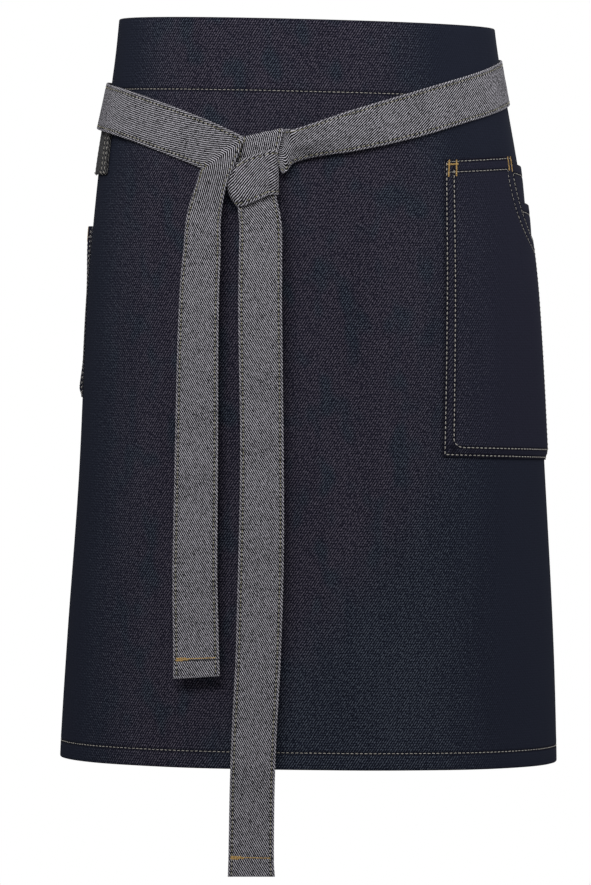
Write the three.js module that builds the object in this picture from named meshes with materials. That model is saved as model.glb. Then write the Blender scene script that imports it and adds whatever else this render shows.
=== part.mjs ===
// A denim waist apron in its worn form: one panel round the front and sides, a layered tool
// pocket, a patch pocket, a side loop, and two ties that cross at the back and are knotted in front.
// Millimetres, +Z up, the front faces -Y, and the origin is the middle of the waist opening.
import * as THREE from 'three';

// Driving dimensions
const PANEL_WIDTH = 700;
const PANEL_TOP = 25;
const PANEL_BOTTOM = -576.7;
const CLOTH = 1.2;
const HEM_CLOTH = 2.4;
const WAIST_HEM_DEPTH = 58;
const BOTTOM_HEM_DEPTH = 14;
const SIDE_HEM_DEPTH = 12;
const HEM_STEP = 1.5;
const TOP_TILT = 0.026;
const BOTTOM_TILT = 0.011;
const PANEL_COLUMNS = 54;
const PANEL_ROWS = 11;

const TIE_WIDTH = 37;
const TIE_THICKNESS = 1.8;
const TIE_STEP = 15;
const TIE_DIVISIONS = 3;
const FOLD_STEPS = 6;

const POCKET_CLOTH = 1.0;
const SEAM_GAP = 0.5;
const SEAM_MARGIN = 9;
const LAYER_INSET = 18;
const POCKET_COLUMNS = 5;
const POCKET_ROWS = 9;
const MOUTH_STEPS = 7;
const LAYER_COLUMNS = 12;

const LOOP_CLOTH = 0.9;
const LOOP_WIDTH = 41;
const LOOP_DIVISIONS = 6;

// The body form that the cloth lies on: a rounded section at each height
const SECTION_POWER = 2.2;
const RING_STEPS = 1440;
const HALF_TURN = 180;
const BODY_SECTIONS = [
  { z: -680, halfWidth: 206, halfDepth: 127, centreX: 0 },
  { z: -580, halfWidth: 204, halfDepth: 126, centreX: 0 },
  { z: -480, halfWidth: 199.5, halfDepth: 124, centreX: 1.5 },
  { z: -350, halfWidth: 191.5, halfDepth: 123, centreX: 3 },
  { z: -200, halfWidth: 183.5, halfDepth: 121, centreX: 2.5 },
  { z: -100, halfWidth: 172.5, halfDepth: 117, centreX: 0.5 },
  { z: -50, halfWidth: 164.5, halfDepth: 113, centreX: 0 },
  { z: 0, halfWidth: 156.5, halfDepth: 109, centreX: -1 },
  { z: 40, halfWidth: 152, halfDepth: 105.5, centreX: -1.5 },
];

// Ties: one row for each place on the strip's middle line. turn is degrees round the body by arc
// length (0 front, 90 picture right, 180 back) and lift is the strip's middle above the panel.
// edgeAngle is the direction of the strip's first edge, where that isn't square to the route, and
// with foldTo the strip turns over a crease there, up or down to that lift.
const TIE_LEFT_ROUTE = [
  { turn: -227, z: 2, lift: 1.4, width: TIE_WIDTH },
  { turn: -212, z: 2, lift: 1.4, width: TIE_WIDTH },
  { turn: -196, z: -7, lift: 0, width: TIE_WIDTH },
  { turn: -180, z: -18, lift: -1.2, width: TIE_WIDTH },
  { turn: -163, z: -33, lift: -0.6, width: TIE_WIDTH },
  { turn: -146, z: -41, lift: 1.6, width: TIE_WIDTH },
  { turn: -118, z: -42, lift: 1.7, width: TIE_WIDTH },
  { turn: -96, z: -42, lift: 4.2, width: TIE_WIDTH },
  { turn: -68, z: -48, lift: 4.2, width: TIE_WIDTH },
  { turn: -52.8, z: -57, lift: 1.7, width: TIE_WIDTH },
  { turn: -34.3, z: -73, lift: 1.6, width: TIE_WIDTH },
  { turn: -22, z: -88, lift: 1.6, width: TIE_WIDTH },
  { turn: -11.8, z: -98.3, lift: 1.6, width: 36, edgeAngle: 90, foldTo: 14.4 },
  { turn: -16.8, z: -102.5, lift: 14.4, width: 34.5 },
  { turn: -21.2, z: -107.5, lift: 14.4, width: 33, edgeAngle: 94, foldTo: 4 },
  { turn: -18, z: -104, lift: 4, width: 24 },
  { turn: -14.2, z: -96, lift: 4, width: 20, edgeAngle: 69, foldTo: 6.4 },
  { turn: -16.1, z: -84, lift: 6.4, width: 14 },
  { turn: -13.8, z: -70.4, lift: 6.4, width: 30, edgeAngle: 13.3, foldTo: 11 },
  { turn: -16.6, z: -81, lift: 11, width: 21.5 },
  { turn: -16.8, z: -99, lift: 11, width: 24 },
  { turn: -15.8, z: -119, lift: 11, width: 26 },
  { turn: -14.5, z: -138, lift: 9, width: 32 },
  { turn: -14.4, z: -162, lift: 10, width: 33.5 },
  { turn: -14.5, z: -205, lift: 10.5, width: 34 },
  { turn: -13.9, z: -320, lift: 10, width: 33.9 },
  { turn: -13.7, z: -410, lift: 10, width: 35.5 },
  { turn: -13.9, z: -485, lift: 9, width: 35.5 },
  { turn: -14.6, z: -562, lift: 8, width: 35.4 },
  { turn: -15.3, z: -648, lift: 7, width: 36 },
  { turn: -15.4, z: -661.6, lift: 7, width: 37.4 },
];
const TIE_RIGHT_ROUTE = [
  { turn: 227, z: 3, lift: 1.4, width: TIE_WIDTH },
  { turn: 212, z: 3, lift: 1.4, width: TIE_WIDTH },
  { turn: 196, z: -1, lift: 2.6, width: TIE_WIDTH },
  { turn: 180, z: -8, lift: 2.8, width: TIE_WIDTH },
  { turn: 162, z: -14, lift: 3.4, width: TIE_WIDTH },
  { turn: 147, z: -17, lift: 3.9, width: TIE_WIDTH },
  { turn: 131, z: -19, lift: 3.9, width: TIE_WIDTH },
  { turn: 116, z: -20, lift: 2.4, width: TIE_WIDTH },
  { turn: 84, z: -24, lift: 1.6, width: 36 },
  { turn: 54.9, z: -38.4, lift: 1.6, width: 35 },
  { turn: 31.7, z: -53, lift: 1.6, width: 35 },
  { turn: 14.1, z: -64.2, lift: 2.6, width: 30 },
  { turn: 2, z: -71.5, lift: 5.4, width: 23 },
  { turn: -5.5, z: -73, lift: 8, width: 15 },
  { turn: -9.5, z: -73.6, lift: 8.8, width: 11 },
  { turn: -15.5, z: -77.8, lift: 8.8, width: 11 },
  { turn: -18.5, z: -80, lift: 8.8, width: 12 },
  { turn: -25.3, z: -84, lift: 8.8, width: 35, edgeAngle: 217, foldTo: 16 },
  { turn: -27.5, z: -98, lift: 15.8, width: 20.5, edgeAngle: 203 },
  { turn: -30.4, z: -116, lift: 10.5, width: 23 },
  { turn: -31.3, z: -142, lift: 10.8, width: 27.5 },
  { turn: -31.7, z: -165, lift: 10.8, width: 30 },
  { turn: -32.15, z: -200, lift: 10.5, width: 32 },
  { turn: -32.4, z: -300, lift: 9.5, width: 34.5 },
  { turn: -32, z: -410, lift: 9, width: 36 },
  { turn: -31, z: -470, lift: 9, width: 36.6 },
  { turn: -30.3, z: -502.4, lift: 10.5, width: 37, edgeAngle: 184.3 },
];
const SIDE_LOOP_ROUTE = [
  { turn: -82.6, z: -34, lift: 0.85, width: LOOP_WIDTH },
  { turn: -80.3, z: -97, lift: 0.85, width: LOOP_WIDTH, edgeAngle: 0, foldTo: 2.25 },
  { turn: -82.6, z: -34, lift: 2.25, width: LOOP_WIDTH },
];

// Pockets: sides as arc positions at the top and the bottom, in millimetres from the front middle.
// topRise and bottomFall are how far the tool pocket's right side reaches past its left side, and
// layerFall is how steeply its layers' top edges fall beside the mouth.
const TOOL_POCKET = {
  top: -87.5, bottom: -326, leftTop: 112.4, leftBottom: 106.4, rightTop: 230, rightBottom: 249,
  mouthStart: 193, mouthEnd: 239, mouthDepth: 67, stand: 3.3, gape: 0.7,
  topRise: 6.5, bottomFall: 5.5, layerFall: 0.12,
};
const TOOL_POCKET_LAYERS = [
  { name: 'tool_pocket_back', top: -92.4, left: 122, lift: SEAM_GAP },
  { name: 'tool_pocket_middle', top: -122.5, left: 176, lift: 1.7 },
];
const PATCH_POCKET = { top: -140, bottom: -280, front: -233, back: -333, gape: 3, gapeDepth: 50 };

// Colours
const DENIM = { color: 0x23252f, roughness: 0.92, metalness: 0 };
const TIE_DENIM = { color: 0x5d5c61, roughness: 0.95, metalness: 0 };

function mix(start, end, part) {
  return start + (end - start) * part;
}

function ease(part) {
  const held = THREE.MathUtils.clamp(part, 0, 1);
  return held * held * (3 - 2 * held);
}

// Value of a table's column at a height, as a smooth curve through its rows
function columnAt(rows, column, z) {
  const last = rows.length - 2;
  const found = rows.findIndex((row, index) => index <= last && z <= rows[index + 1].z);
  const index = found < 0 ? last : found;
  const slope = (at) => {
    const below = rows[Math.max(at - 1, 0)];
    const above = rows[Math.min(at + 1, rows.length - 1)];
    return (above[column] - below[column]) / (above.z - below.z);
  };
  const start = rows[index];
  const end = rows[index + 1];
  const span = end.z - start.z;
  const part = (z - start.z) / span;
  const square = part * part;
  const cube = square * part;
  return (2 * cube - 3 * square + 1) * start[column] + (cube - 2 * square + part) * span * slope(index)
    + (3 * square - 2 * cube) * end[column] + (cube - square) * span * slope(index + 1);
}

function signedPower(value, power) {
  return Math.sign(value) * Math.abs(value) ** power;
}

// The body's section at a height as a ring of points with the length along it, from back to back
const rings = new Map();
function ringAt(z) {
  if (rings.has(z)) {
    return rings.get(z);
  }
  const halfWidth = columnAt(BODY_SECTIONS, 'halfWidth', z);
  const halfDepth = columnAt(BODY_SECTIONS, 'halfDepth', z);
  const centreX = columnAt(BODY_SECTIONS, 'centreX', z);
  const points = [];
  const lengths = [0];
  for (let step = 0; step <= RING_STEPS; step += 1) {
    const angle = (step / RING_STEPS - 0.5) * 2 * Math.PI;
    const x = centreX + halfWidth * signedPower(Math.sin(angle), 2 / SECTION_POWER);
    const y = -halfDepth * signedPower(Math.cos(angle), 2 / SECTION_POWER);
    points.push(new THREE.Vector2(x, y));
    if (step > 0) {
      lengths.push(lengths[step - 1] + points[step].distanceTo(points[step - 1]));
    }
  }
  const ring = { points, lengths, girth: lengths[RING_STEPS] };
  rings.set(z, ring);
  return ring;
}

// Point on the section at a length along its ring
function alongRing(ring, length) {
  const held = THREE.MathUtils.euclideanModulo(length, ring.girth);
  let low = 0;
  let high = RING_STEPS;
  while (high - low > 1) {
    const middle = (low + high) >> 1;
    if (ring.lengths[middle] <= held) {
      low = middle;
    } else {
      high = middle;
    }
  }
  const part = (held - ring.lengths[low]) / (ring.lengths[high] - ring.lengths[low]);
  return ring.points[low].clone().lerp(ring.points[high], part);
}

// Point at a turn round the body and a height, lifted level and square to the section
function bodyPoint(turn, z, lift) {
  const ring = ringAt(z);
  const length = (turn / HALF_TURN + 1) * ring.girth / 2;
  const reach = ring.girth / RING_STEPS;
  const place = alongRing(ring, length);
  const along = alongRing(ring, length + reach).sub(alongRing(ring, length - reach)).normalize();
  return new THREE.Vector3(place.x + along.y * lift, place.y - along.x * lift, z);
}

function turnOf(arc, z) {
  return arc / ringAt(z).girth * 2 * HALF_TURN;
}

// Point of the cloth at an arc position from the front middle
function clothPoint(arc, z, lift) {
  return bodyPoint(turnOf(arc, z), z, lift);
}

// Closed solid from a grid of section rings: rings[i][j], each ring going round the section
function loftGeometry(sections) {
  const count = sections[0].length;
  const positions = sections.flat().flatMap((point) => point.toArray());
  const faces = [];
  for (let i = 0; i + 1 < sections.length; i += 1) {
    for (let j = 0; j < count; j += 1) {
      const here = i * count + j;
      const beside = i * count + (j + 1) % count;
      faces.push(here, beside, beside + count, here, beside + count, here + count);
    }
  }
  const half = count / 2;
  const lastSection = (sections.length - 1) * count;
  for (let j = 0; j + 1 < half; j += 1) {
    const mate = count - 1 - j;
    faces.push(j, mate, mate - 1, j, mate - 1, j + 1);
    const end = lastSection + j;
    const endMate = lastSection + mate;
    faces.push(end, end + 1, endMate - 1, end, endMate - 1, endMate);
  }
  const geometry = new THREE.BufferGeometry();
  geometry.setAttribute('position', new THREE.Float32BufferAttribute(positions, 3));
  geometry.setIndex(faces);
  return geometry;
}

// Wall of cloth over a grid: for each column, the outer points going down and the inner ones back up
function wallGeometry(columns, rows, outer, inner) {
  const sections = columns.map((column) => [
    ...rows.map((row) => outer(column, row)),
    ...rows.toReversed().map((row) => inner(column, row)),
  ]);
  return loftGeometry(sections);
}

function evenSteps(start, end, count) {
  return Array.from({ length: count + 1 }, (unused, step) => mix(start, end, step / count));
}

function addPiece(group, name, geometry, finish) {
  const mesh = new THREE.Mesh(geometry, new THREE.MeshStandardMaterial(finish));
  mesh.name = name;
  geometry.computeVertexNormals();
  group.add(mesh);
}

// Panel: the sheet's own level lines tilt a little to the picture's right
function panelPoint(arc, level, lift) {
  const tilt = mix(BOTTOM_TILT, TOP_TILT, (level - PANEL_BOTTOM) / (PANEL_TOP - PANEL_BOTTOM));
  const z = level - tilt * clothPoint(arc, level, 0).x;
  return clothPoint(arc, z, lift);
}

function panelGeometry() {
  const edge = PANEL_WIDTH / 2;
  const sideFold = edge - SIDE_HEM_DEPTH;
  const waistFold = PANEL_TOP - WAIST_HEM_DEPTH;
  const bottomFold = PANEL_BOTTOM + BOTTOM_HEM_DEPTH;
  const arcs = [
    -edge, -sideFold,
    ...evenSteps(-sideFold + HEM_STEP, sideFold - HEM_STEP, PANEL_COLUMNS),
    sideFold, edge,
  ];
  const levels = [
    PANEL_TOP, mix(PANEL_TOP, waistFold, 0.5), waistFold,
    ...evenSteps(waistFold - HEM_STEP, bottomFold + HEM_STEP, PANEL_ROWS),
    bottomFold, PANEL_BOTTOM,
  ];
  const thickness = (arc, level) => {
    const hemmed = Math.abs(arc) >= sideFold || level >= waistFold || level <= bottomFold;
    return hemmed ? HEM_CLOTH : CLOTH;
  };
  return wallGeometry(
    arcs,
    levels,
    (arc, level) => panelPoint(arc, level, 0),
    (arc, level) => panelPoint(arc, level, -thickness(arc, level)),
  );
}

// Tool pocket: across runs from 0 at the left side to 1 at the right side
function toolPocketPoint(across, z, lift) {
  const { top, bottom, leftTop, leftBottom, rightTop, rightBottom, topRise, bottomFall } = TOOL_POCKET;
  const down = (z - top) / (bottom - top);
  const arc = mix(mix(leftTop, leftBottom, down), mix(rightTop, rightBottom, down), across);
  return clothPoint(arc, z + across * mix(topRise, -bottomFall, down), lift);
}

function toolPocketFrontGeometry() {
  const { top, bottom, leftTop, mouthStart, mouthEnd, mouthDepth, stand, gape } = TOOL_POCKET;
  const width = mouthEnd - leftTop;
  const straight = (mouthStart - leftTop) / width;
  const seam = SEAM_MARGIN / width;
  const columns = [0, seam / 2, seam, ...evenSteps(2 * seam, straight, POCKET_COLUMNS)].map(
    (across) => ({ across, top }),
  );
  const mouthSteps = evenSteps(0, Math.PI / 2, MOUTH_STEPS).slice(1);
  for (const angle of mouthSteps) {
    const across = mix(straight, 1, 1 - Math.cos(angle));
    columns.push({ across, top: top - mouthDepth * Math.sin(angle) });
  }
  const seamRow = 1 - SEAM_MARGIN / (top - bottom);
  const rows = [...evenSteps(0, seamRow, POCKET_ROWS), mix(seamRow, 1, 0.5), 1];
  const place = (column, row) => {
    const z = mix(column.top, bottom, row);
    const across = column.across;
    const fromLeft = ease(across * width / SEAM_MARGIN);
    const fromBottom = ease((z - bottom) / SEAM_MARGIN);
    const open = gape * ease((across - straight / 2) * 2) * (1 - ease(row * 2));
    return { across, z, lift: mix(SEAM_GAP, stand, fromLeft * fromBottom) + open };
  };
  const layer = (rise) => (column, row) => {
    const { across, z, lift } = place(column, row);
    return toolPocketPoint(across, z, lift + rise);
  };
  return wallGeometry(columns, rows, layer(POCKET_CLOTH), layer(0));
}

function toolPocketLayerGeometry({ top, left, lift }) {
  const { bottom, leftTop, rightTop, mouthStart, mouthEnd, layerFall } = TOOL_POCKET;
  const width = mouthEnd - leftTop;
  const columns = evenSteps((left - leftTop) / (rightTop - leftTop), 1, LAYER_COLUMNS);
  const rows = evenSteps(top, bottom + LAYER_INSET, POCKET_ROWS);
  const layer = (rise) => (across, z) => {
    const free = Math.max(across * width - (mouthStart - leftTop), 0);
    const fall = layerFall * free * ease((z - bottom) / (TOOL_POCKET.top - bottom));
    return toolPocketPoint(across, z - fall, lift + rise);
  };
  return wallGeometry(columns, rows, layer(POCKET_CLOTH), layer(0));
}

function patchPocketGeometry() {
  const { top, bottom, front, back, gape, gapeDepth } = PATCH_POCKET;
  const columns = [
    back, back + SEAM_MARGIN / 2, back + SEAM_MARGIN,
    ...evenSteps(back + 2 * SEAM_MARGIN, front - 2 * SEAM_MARGIN, POCKET_COLUMNS),
    front - SEAM_MARGIN, front - SEAM_MARGIN / 2, front,
  ];
  const rows = [...evenSteps(top, bottom + SEAM_MARGIN, POCKET_ROWS), bottom + SEAM_MARGIN / 2, bottom];
  const layer = (rise) => (arc, z) => {
    const fromSide = ease(Math.min(arc - back, front - arc) / (2 * SEAM_MARGIN));
    const open = gape * fromSide * (1 - ease((top - z) / gapeDepth));
    return clothPoint(arc, z, SEAM_GAP + open + rise);
  };
  return wallGeometry(columns, rows, layer(POCKET_CLOTH), layer(0));
}

// Strips: each station has a middle, half of the line across it, and half of its thickness, all in
// millimetres along the body, up, and out from the body
function flatPlace(row) {
  return new THREE.Vector3(row.turn * ringAt(row.z).girth / 2 / HALF_TURN, row.z, row.lift);
}

function direction(degrees) {
  const angle = THREE.MathUtils.degToRad(degrees);
  return new THREE.Vector3(Math.cos(angle), Math.sin(angle), 0);
}

// Line across the strip at a row: at the row's edge angle, or square to the way through the row
function acrossOf(route, index, side) {
  const row = route[index];
  if (row.edgeAngle !== undefined) {
    return direction(row.edgeAngle).multiplyScalar(row.width / 2);
  }
  const before = flatPlace(route[Math.max(index - 1, 0)]);
  const after = flatPlace(route[Math.min(index + 1, route.length - 1)]);
  const way = after.sub(before).setZ(0).normalize();
  return new THREE.Vector3(-way.y, way.x, 0).multiplyScalar(side * row.width / 2);
}

// Stations of a fold: a half turn round the crease, from the row's lift to foldTo
function foldStations(row, across, way, side) {
  const radius = (row.foldTo - row.lift) / 2;
  const outward = new THREE.Vector3(across.y, -across.x, 0).normalize();
  if (outward.dot(way) < 0) {
    outward.negate();
  }
  return evenSteps(-Math.PI / 2, Math.PI / 2, FOLD_STEPS).map((angle) => {
    const radial = outward.clone().multiplyScalar(Math.cos(angle));
    radial.z = Math.sign(radius) * Math.sin(angle);
    const middle = flatPlace(row).addScaledVector(radial, Math.abs(radius));
    middle.z = row.lift + radius + radius * Math.sin(angle);
    const out = radial.clone().multiplyScalar(-side * Math.sign(radius));
    return { middle, across: across.clone(), out, girth: ringAt(row.z).girth };
  });
}

// Stations of the run between two rows, without its ends
function runStations(from, to, before, after) {
  const count = Math.max(1, Math.round(from.middle.distanceTo(to.middle) / TIE_STEP));
  return evenSteps(0, 1, count).slice(1, -1).map((part) => {
    const curve = new THREE.CatmullRomCurve3([before, from.middle, to.middle, after], false, 'centripetal');
    const middle = curve.getPoint((1 + part) / 3);
    middle.z = mix(from.middle.z, to.middle.z, ease(part));
    return {
      middle,
      across: from.across.clone().lerp(to.across, part),
      out: from.out,
      girth: mix(from.girth, to.girth, part),
    };
  });
}

function stripStations(route) {
  let side = 1;
  const groups = route.map((row, index) => {
    const across = acrossOf(route, index, side);
    if (row.foldTo === undefined) {
      const out = new THREE.Vector3(0, 0, side);
      return [{ middle: flatPlace(row), across, out, girth: ringAt(row.z).girth }];
    }
    const way = flatPlace(row).sub(flatPlace(route[index - 1])).setZ(0);
    const stations = foldStations(row, across, way, side);
    side = -side;
    return stations;
  });
  const stations = [...groups[0]];
  for (let index = 1; index < groups.length; index += 1) {
    const from = groups[index - 1].at(-1);
    const to = groups[index][0];
    const startsHere = index === 1 || route[index - 1].foldTo !== undefined;
    const endsHere = index + 1 === groups.length || route[index].foldTo !== undefined;
    const before = startsHere ? from.middle.clone().lerp(to.middle, -1) : groups[index - 2].at(-1).middle;
    const after = endsHere ? to.middle.clone().lerp(from.middle, -1) : groups[index + 1][0].middle;
    stations.push(...runStations(from, to, before, after), ...groups[index]);
  }
  return stations;
}

function stripGeometry(route, thickness, divisions) {
  const sides = evenSteps(1, -1, divisions);
  const sections = stripStations(route).map(({ middle, across, out, girth }) => {
    const corner = (beside, rise) => {
      const place = middle.clone().addScaledVector(across, beside).addScaledVector(out, rise);
      return bodyPoint(place.x / girth * 2 * HALF_TURN, place.y, place.z);
    };
    return [
      ...sides.map((beside) => corner(beside, thickness / 2)),
      ...sides.toReversed().map((beside) => corner(beside, -thickness / 2)),
    ];
  });
  return loftGeometry(sections);
}

const apron = new THREE.Group();
addPiece(apron, 'apron_panel', panelGeometry(), DENIM);
for (const layer of TOOL_POCKET_LAYERS) {
  addPiece(apron, layer.name, toolPocketLayerGeometry(layer), DENIM);
}
addPiece(apron, 'tool_pocket_front', toolPocketFrontGeometry(), DENIM);
addPiece(apron, 'patch_pocket', patchPocketGeometry(), DENIM);
addPiece(apron, 'side_loop', stripGeometry(SIDE_LOOP_ROUTE, LOOP_CLOTH, LOOP_DIVISIONS), TIE_DENIM);
addPiece(apron, 'tie_left', stripGeometry(TIE_LEFT_ROUTE, TIE_THICKNESS, TIE_DIVISIONS), TIE_DENIM);
addPiece(apron, 'tie_right', stripGeometry(TIE_RIGHT_ROUTE, TIE_THICKNESS, TIE_DIVISIONS), TIE_DENIM);

export default apron;
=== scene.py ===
"""A raw denim waist apron in its worn form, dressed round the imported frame.

Sizes are in millimetres, as a cutter would note them, and MM takes a finished mesh to the frame's metres.
The front faces -Y, +X is to the right of a viewer in front, and the origin is the middle of the waist.
"""

import logging
import math
from dataclasses import dataclass, field, replace
from enum import Enum

import bpy
import numpy as np
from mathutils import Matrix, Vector


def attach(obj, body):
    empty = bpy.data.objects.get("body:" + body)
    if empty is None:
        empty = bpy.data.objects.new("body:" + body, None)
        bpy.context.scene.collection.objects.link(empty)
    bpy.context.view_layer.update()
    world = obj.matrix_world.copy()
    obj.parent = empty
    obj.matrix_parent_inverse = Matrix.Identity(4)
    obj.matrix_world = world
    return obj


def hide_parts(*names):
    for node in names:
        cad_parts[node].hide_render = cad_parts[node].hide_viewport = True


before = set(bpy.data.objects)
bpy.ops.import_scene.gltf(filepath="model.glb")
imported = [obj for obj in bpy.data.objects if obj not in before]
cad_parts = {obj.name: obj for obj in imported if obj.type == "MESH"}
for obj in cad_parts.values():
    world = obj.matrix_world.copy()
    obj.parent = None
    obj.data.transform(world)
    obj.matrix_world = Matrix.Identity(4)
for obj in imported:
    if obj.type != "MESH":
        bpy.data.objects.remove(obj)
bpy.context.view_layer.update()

LOG = logging.getLogger("apron")
MM = 0.001
BODY = "root"
CLOTH_MAP = "cloth"
INSET = "inset"
SEAM = "seam"
FULL_TURN = 360.0
RIM_STEPS = 3
NEARLY_ONE = 0.9999
SMALLEST = 1e-12
SAME_PLACE = 0.02
SEAM_STEPS = (-2.2, -1.2, -0.6, 0.0, 0.6, 1.2, 2.2)
SEAM_CLEAR = 0.4
SEAM_WIDTH = 1.2
HEM_LIP = 0.8
TACK_RISE = 0.25
TACK_POINTS = 24
ROW_END = 1.5
END_CLEAR = 1.2

Array = np.ndarray
Colour = tuple[float, float, float]
Pair = tuple[float, float]


def ease(part: Array) -> Array:
    """Smooth step of a part held between 0 and 1: three squares less two cubes."""
    held = np.clip(part, 0.0, 1.0)
    return held * held * (3.0 - 2.0 * held)


def mix(start: Array, end: Array, part: Array) -> Array:
    """Straight mix from start to end."""
    return start + (end - start) * part


def bell(distance: Array, width: float) -> Array:
    """A smooth bump: 1 at no distance, falling as a Gaussian of that width."""
    return np.exp(-((distance / width) ** 2))


def unit(vectors: Array) -> Array:
    """The vectors, each at length one."""
    return vectors / np.maximum(np.linalg.norm(vectors, axis=-1, keepdims=True), SMALLEST)


def graded(start: float, end: float, step: float, rim: float) -> Array:
    """Places from start to end, even in the middle and closing up on both ends as a quarter circle.

    Args:
        start: First place.
        end: Last place, larger than start.
        step: Even spacing in the middle.
        rim: Radius of the quarter circle at each end.

    Returns:
        The places in rising order.
    """
    near = rim * (1.0 - np.cos(np.linspace(0.0, np.pi / 2, RIM_STEPS + 1)[:-1]))
    count = max(1, round((end - start - 2 * rim) / step))
    return np.concatenate([start + near, np.linspace(start + rim, end - rim, count + 1), end - near[::-1]])


def rim_share(distance: Array, radius: float) -> Array:
    """How far a face has turned in: 1 on the edge, 0 from one radius inwards, a quarter circle between."""
    part = np.clip(1.0 - distance / radius, 0.0, 1.0)
    return 1.0 - np.sqrt(1.0 - part**2)


def on_hem(distance: Array, hem: float) -> Array:
    """1 on a hem of that depth and 0 past it, with a short smooth lip between."""
    return 1.0 - ease((distance - hem) / HEM_LIP + 0.5)


def cubic(knots: Array, values: Array, slopes: Array, at: Array) -> Array:
    """Cubic Hermite curve through values at the knots with those slopes.

    Args:
        knots: Rising parameters, one for each row of values.
        values: Rows of values.
        slopes: Rows of slopes, shaped as values.
        at: Parameters to evaluate at, of any shape.

    Returns:
        An array of the shape of at, followed by that of one row.
    """
    index = np.clip(np.searchsorted(knots, at, side="left") - 1, 0, len(knots) - 2)
    span = knots[index + 1] - knots[index]
    part = (at - knots[index]) / span
    if values.ndim > 1:
        span, part = span[..., None], part[..., None]
    square, third = part**2, part**3
    start = (2 * third - 3 * square + 1) * values[index] + (third - 2 * square + part) * span * slopes[index]
    end = (3 * square - 2 * third) * values[index + 1] + (third - square) * span * slopes[index + 1]
    return start + end


def chord_slopes(knots: Array, values: Array) -> Array:
    """Slope at each knot from the knot before it to the one after, one-sided at the ends."""
    before = np.maximum(np.arange(len(knots)) - 1, 0)
    after = np.minimum(np.arange(len(knots)) + 1, len(knots) - 1)
    gap = knots[after] - knots[before]
    return (values[after] - values[before]) / (gap[:, None] if values.ndim > 1 else gap)


def calm_slopes(knots: Array, values: Array) -> Array:
    """Slopes that never overshoot: harmonic mean of the steps on both sides, or level at a turning point."""
    steps = np.diff(values) / np.diff(knots)
    slopes = np.zeros_like(values)
    same = steps[:-1] * steps[1:] > 0
    pair = np.where(same, steps[:-1] + steps[1:], 1.0)
    slopes[1:-1] = np.where(same, 2 * steps[:-1] * steps[1:] / pair, 0.0)
    return slopes


def run_lengths(path: Array) -> Array:
    """Length along a path of points, at each point."""
    return np.concatenate([[0.0], np.cumsum(np.linalg.norm(np.diff(path, axis=0), axis=1))])


def follow(lengths: Array, rows: Array, at: Array) -> Array:
    """Rows of values at places along a path, by a straight mix between its points."""
    return np.stack([np.interp(at, lengths, column) for column in rows.T], axis=-1)


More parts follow.
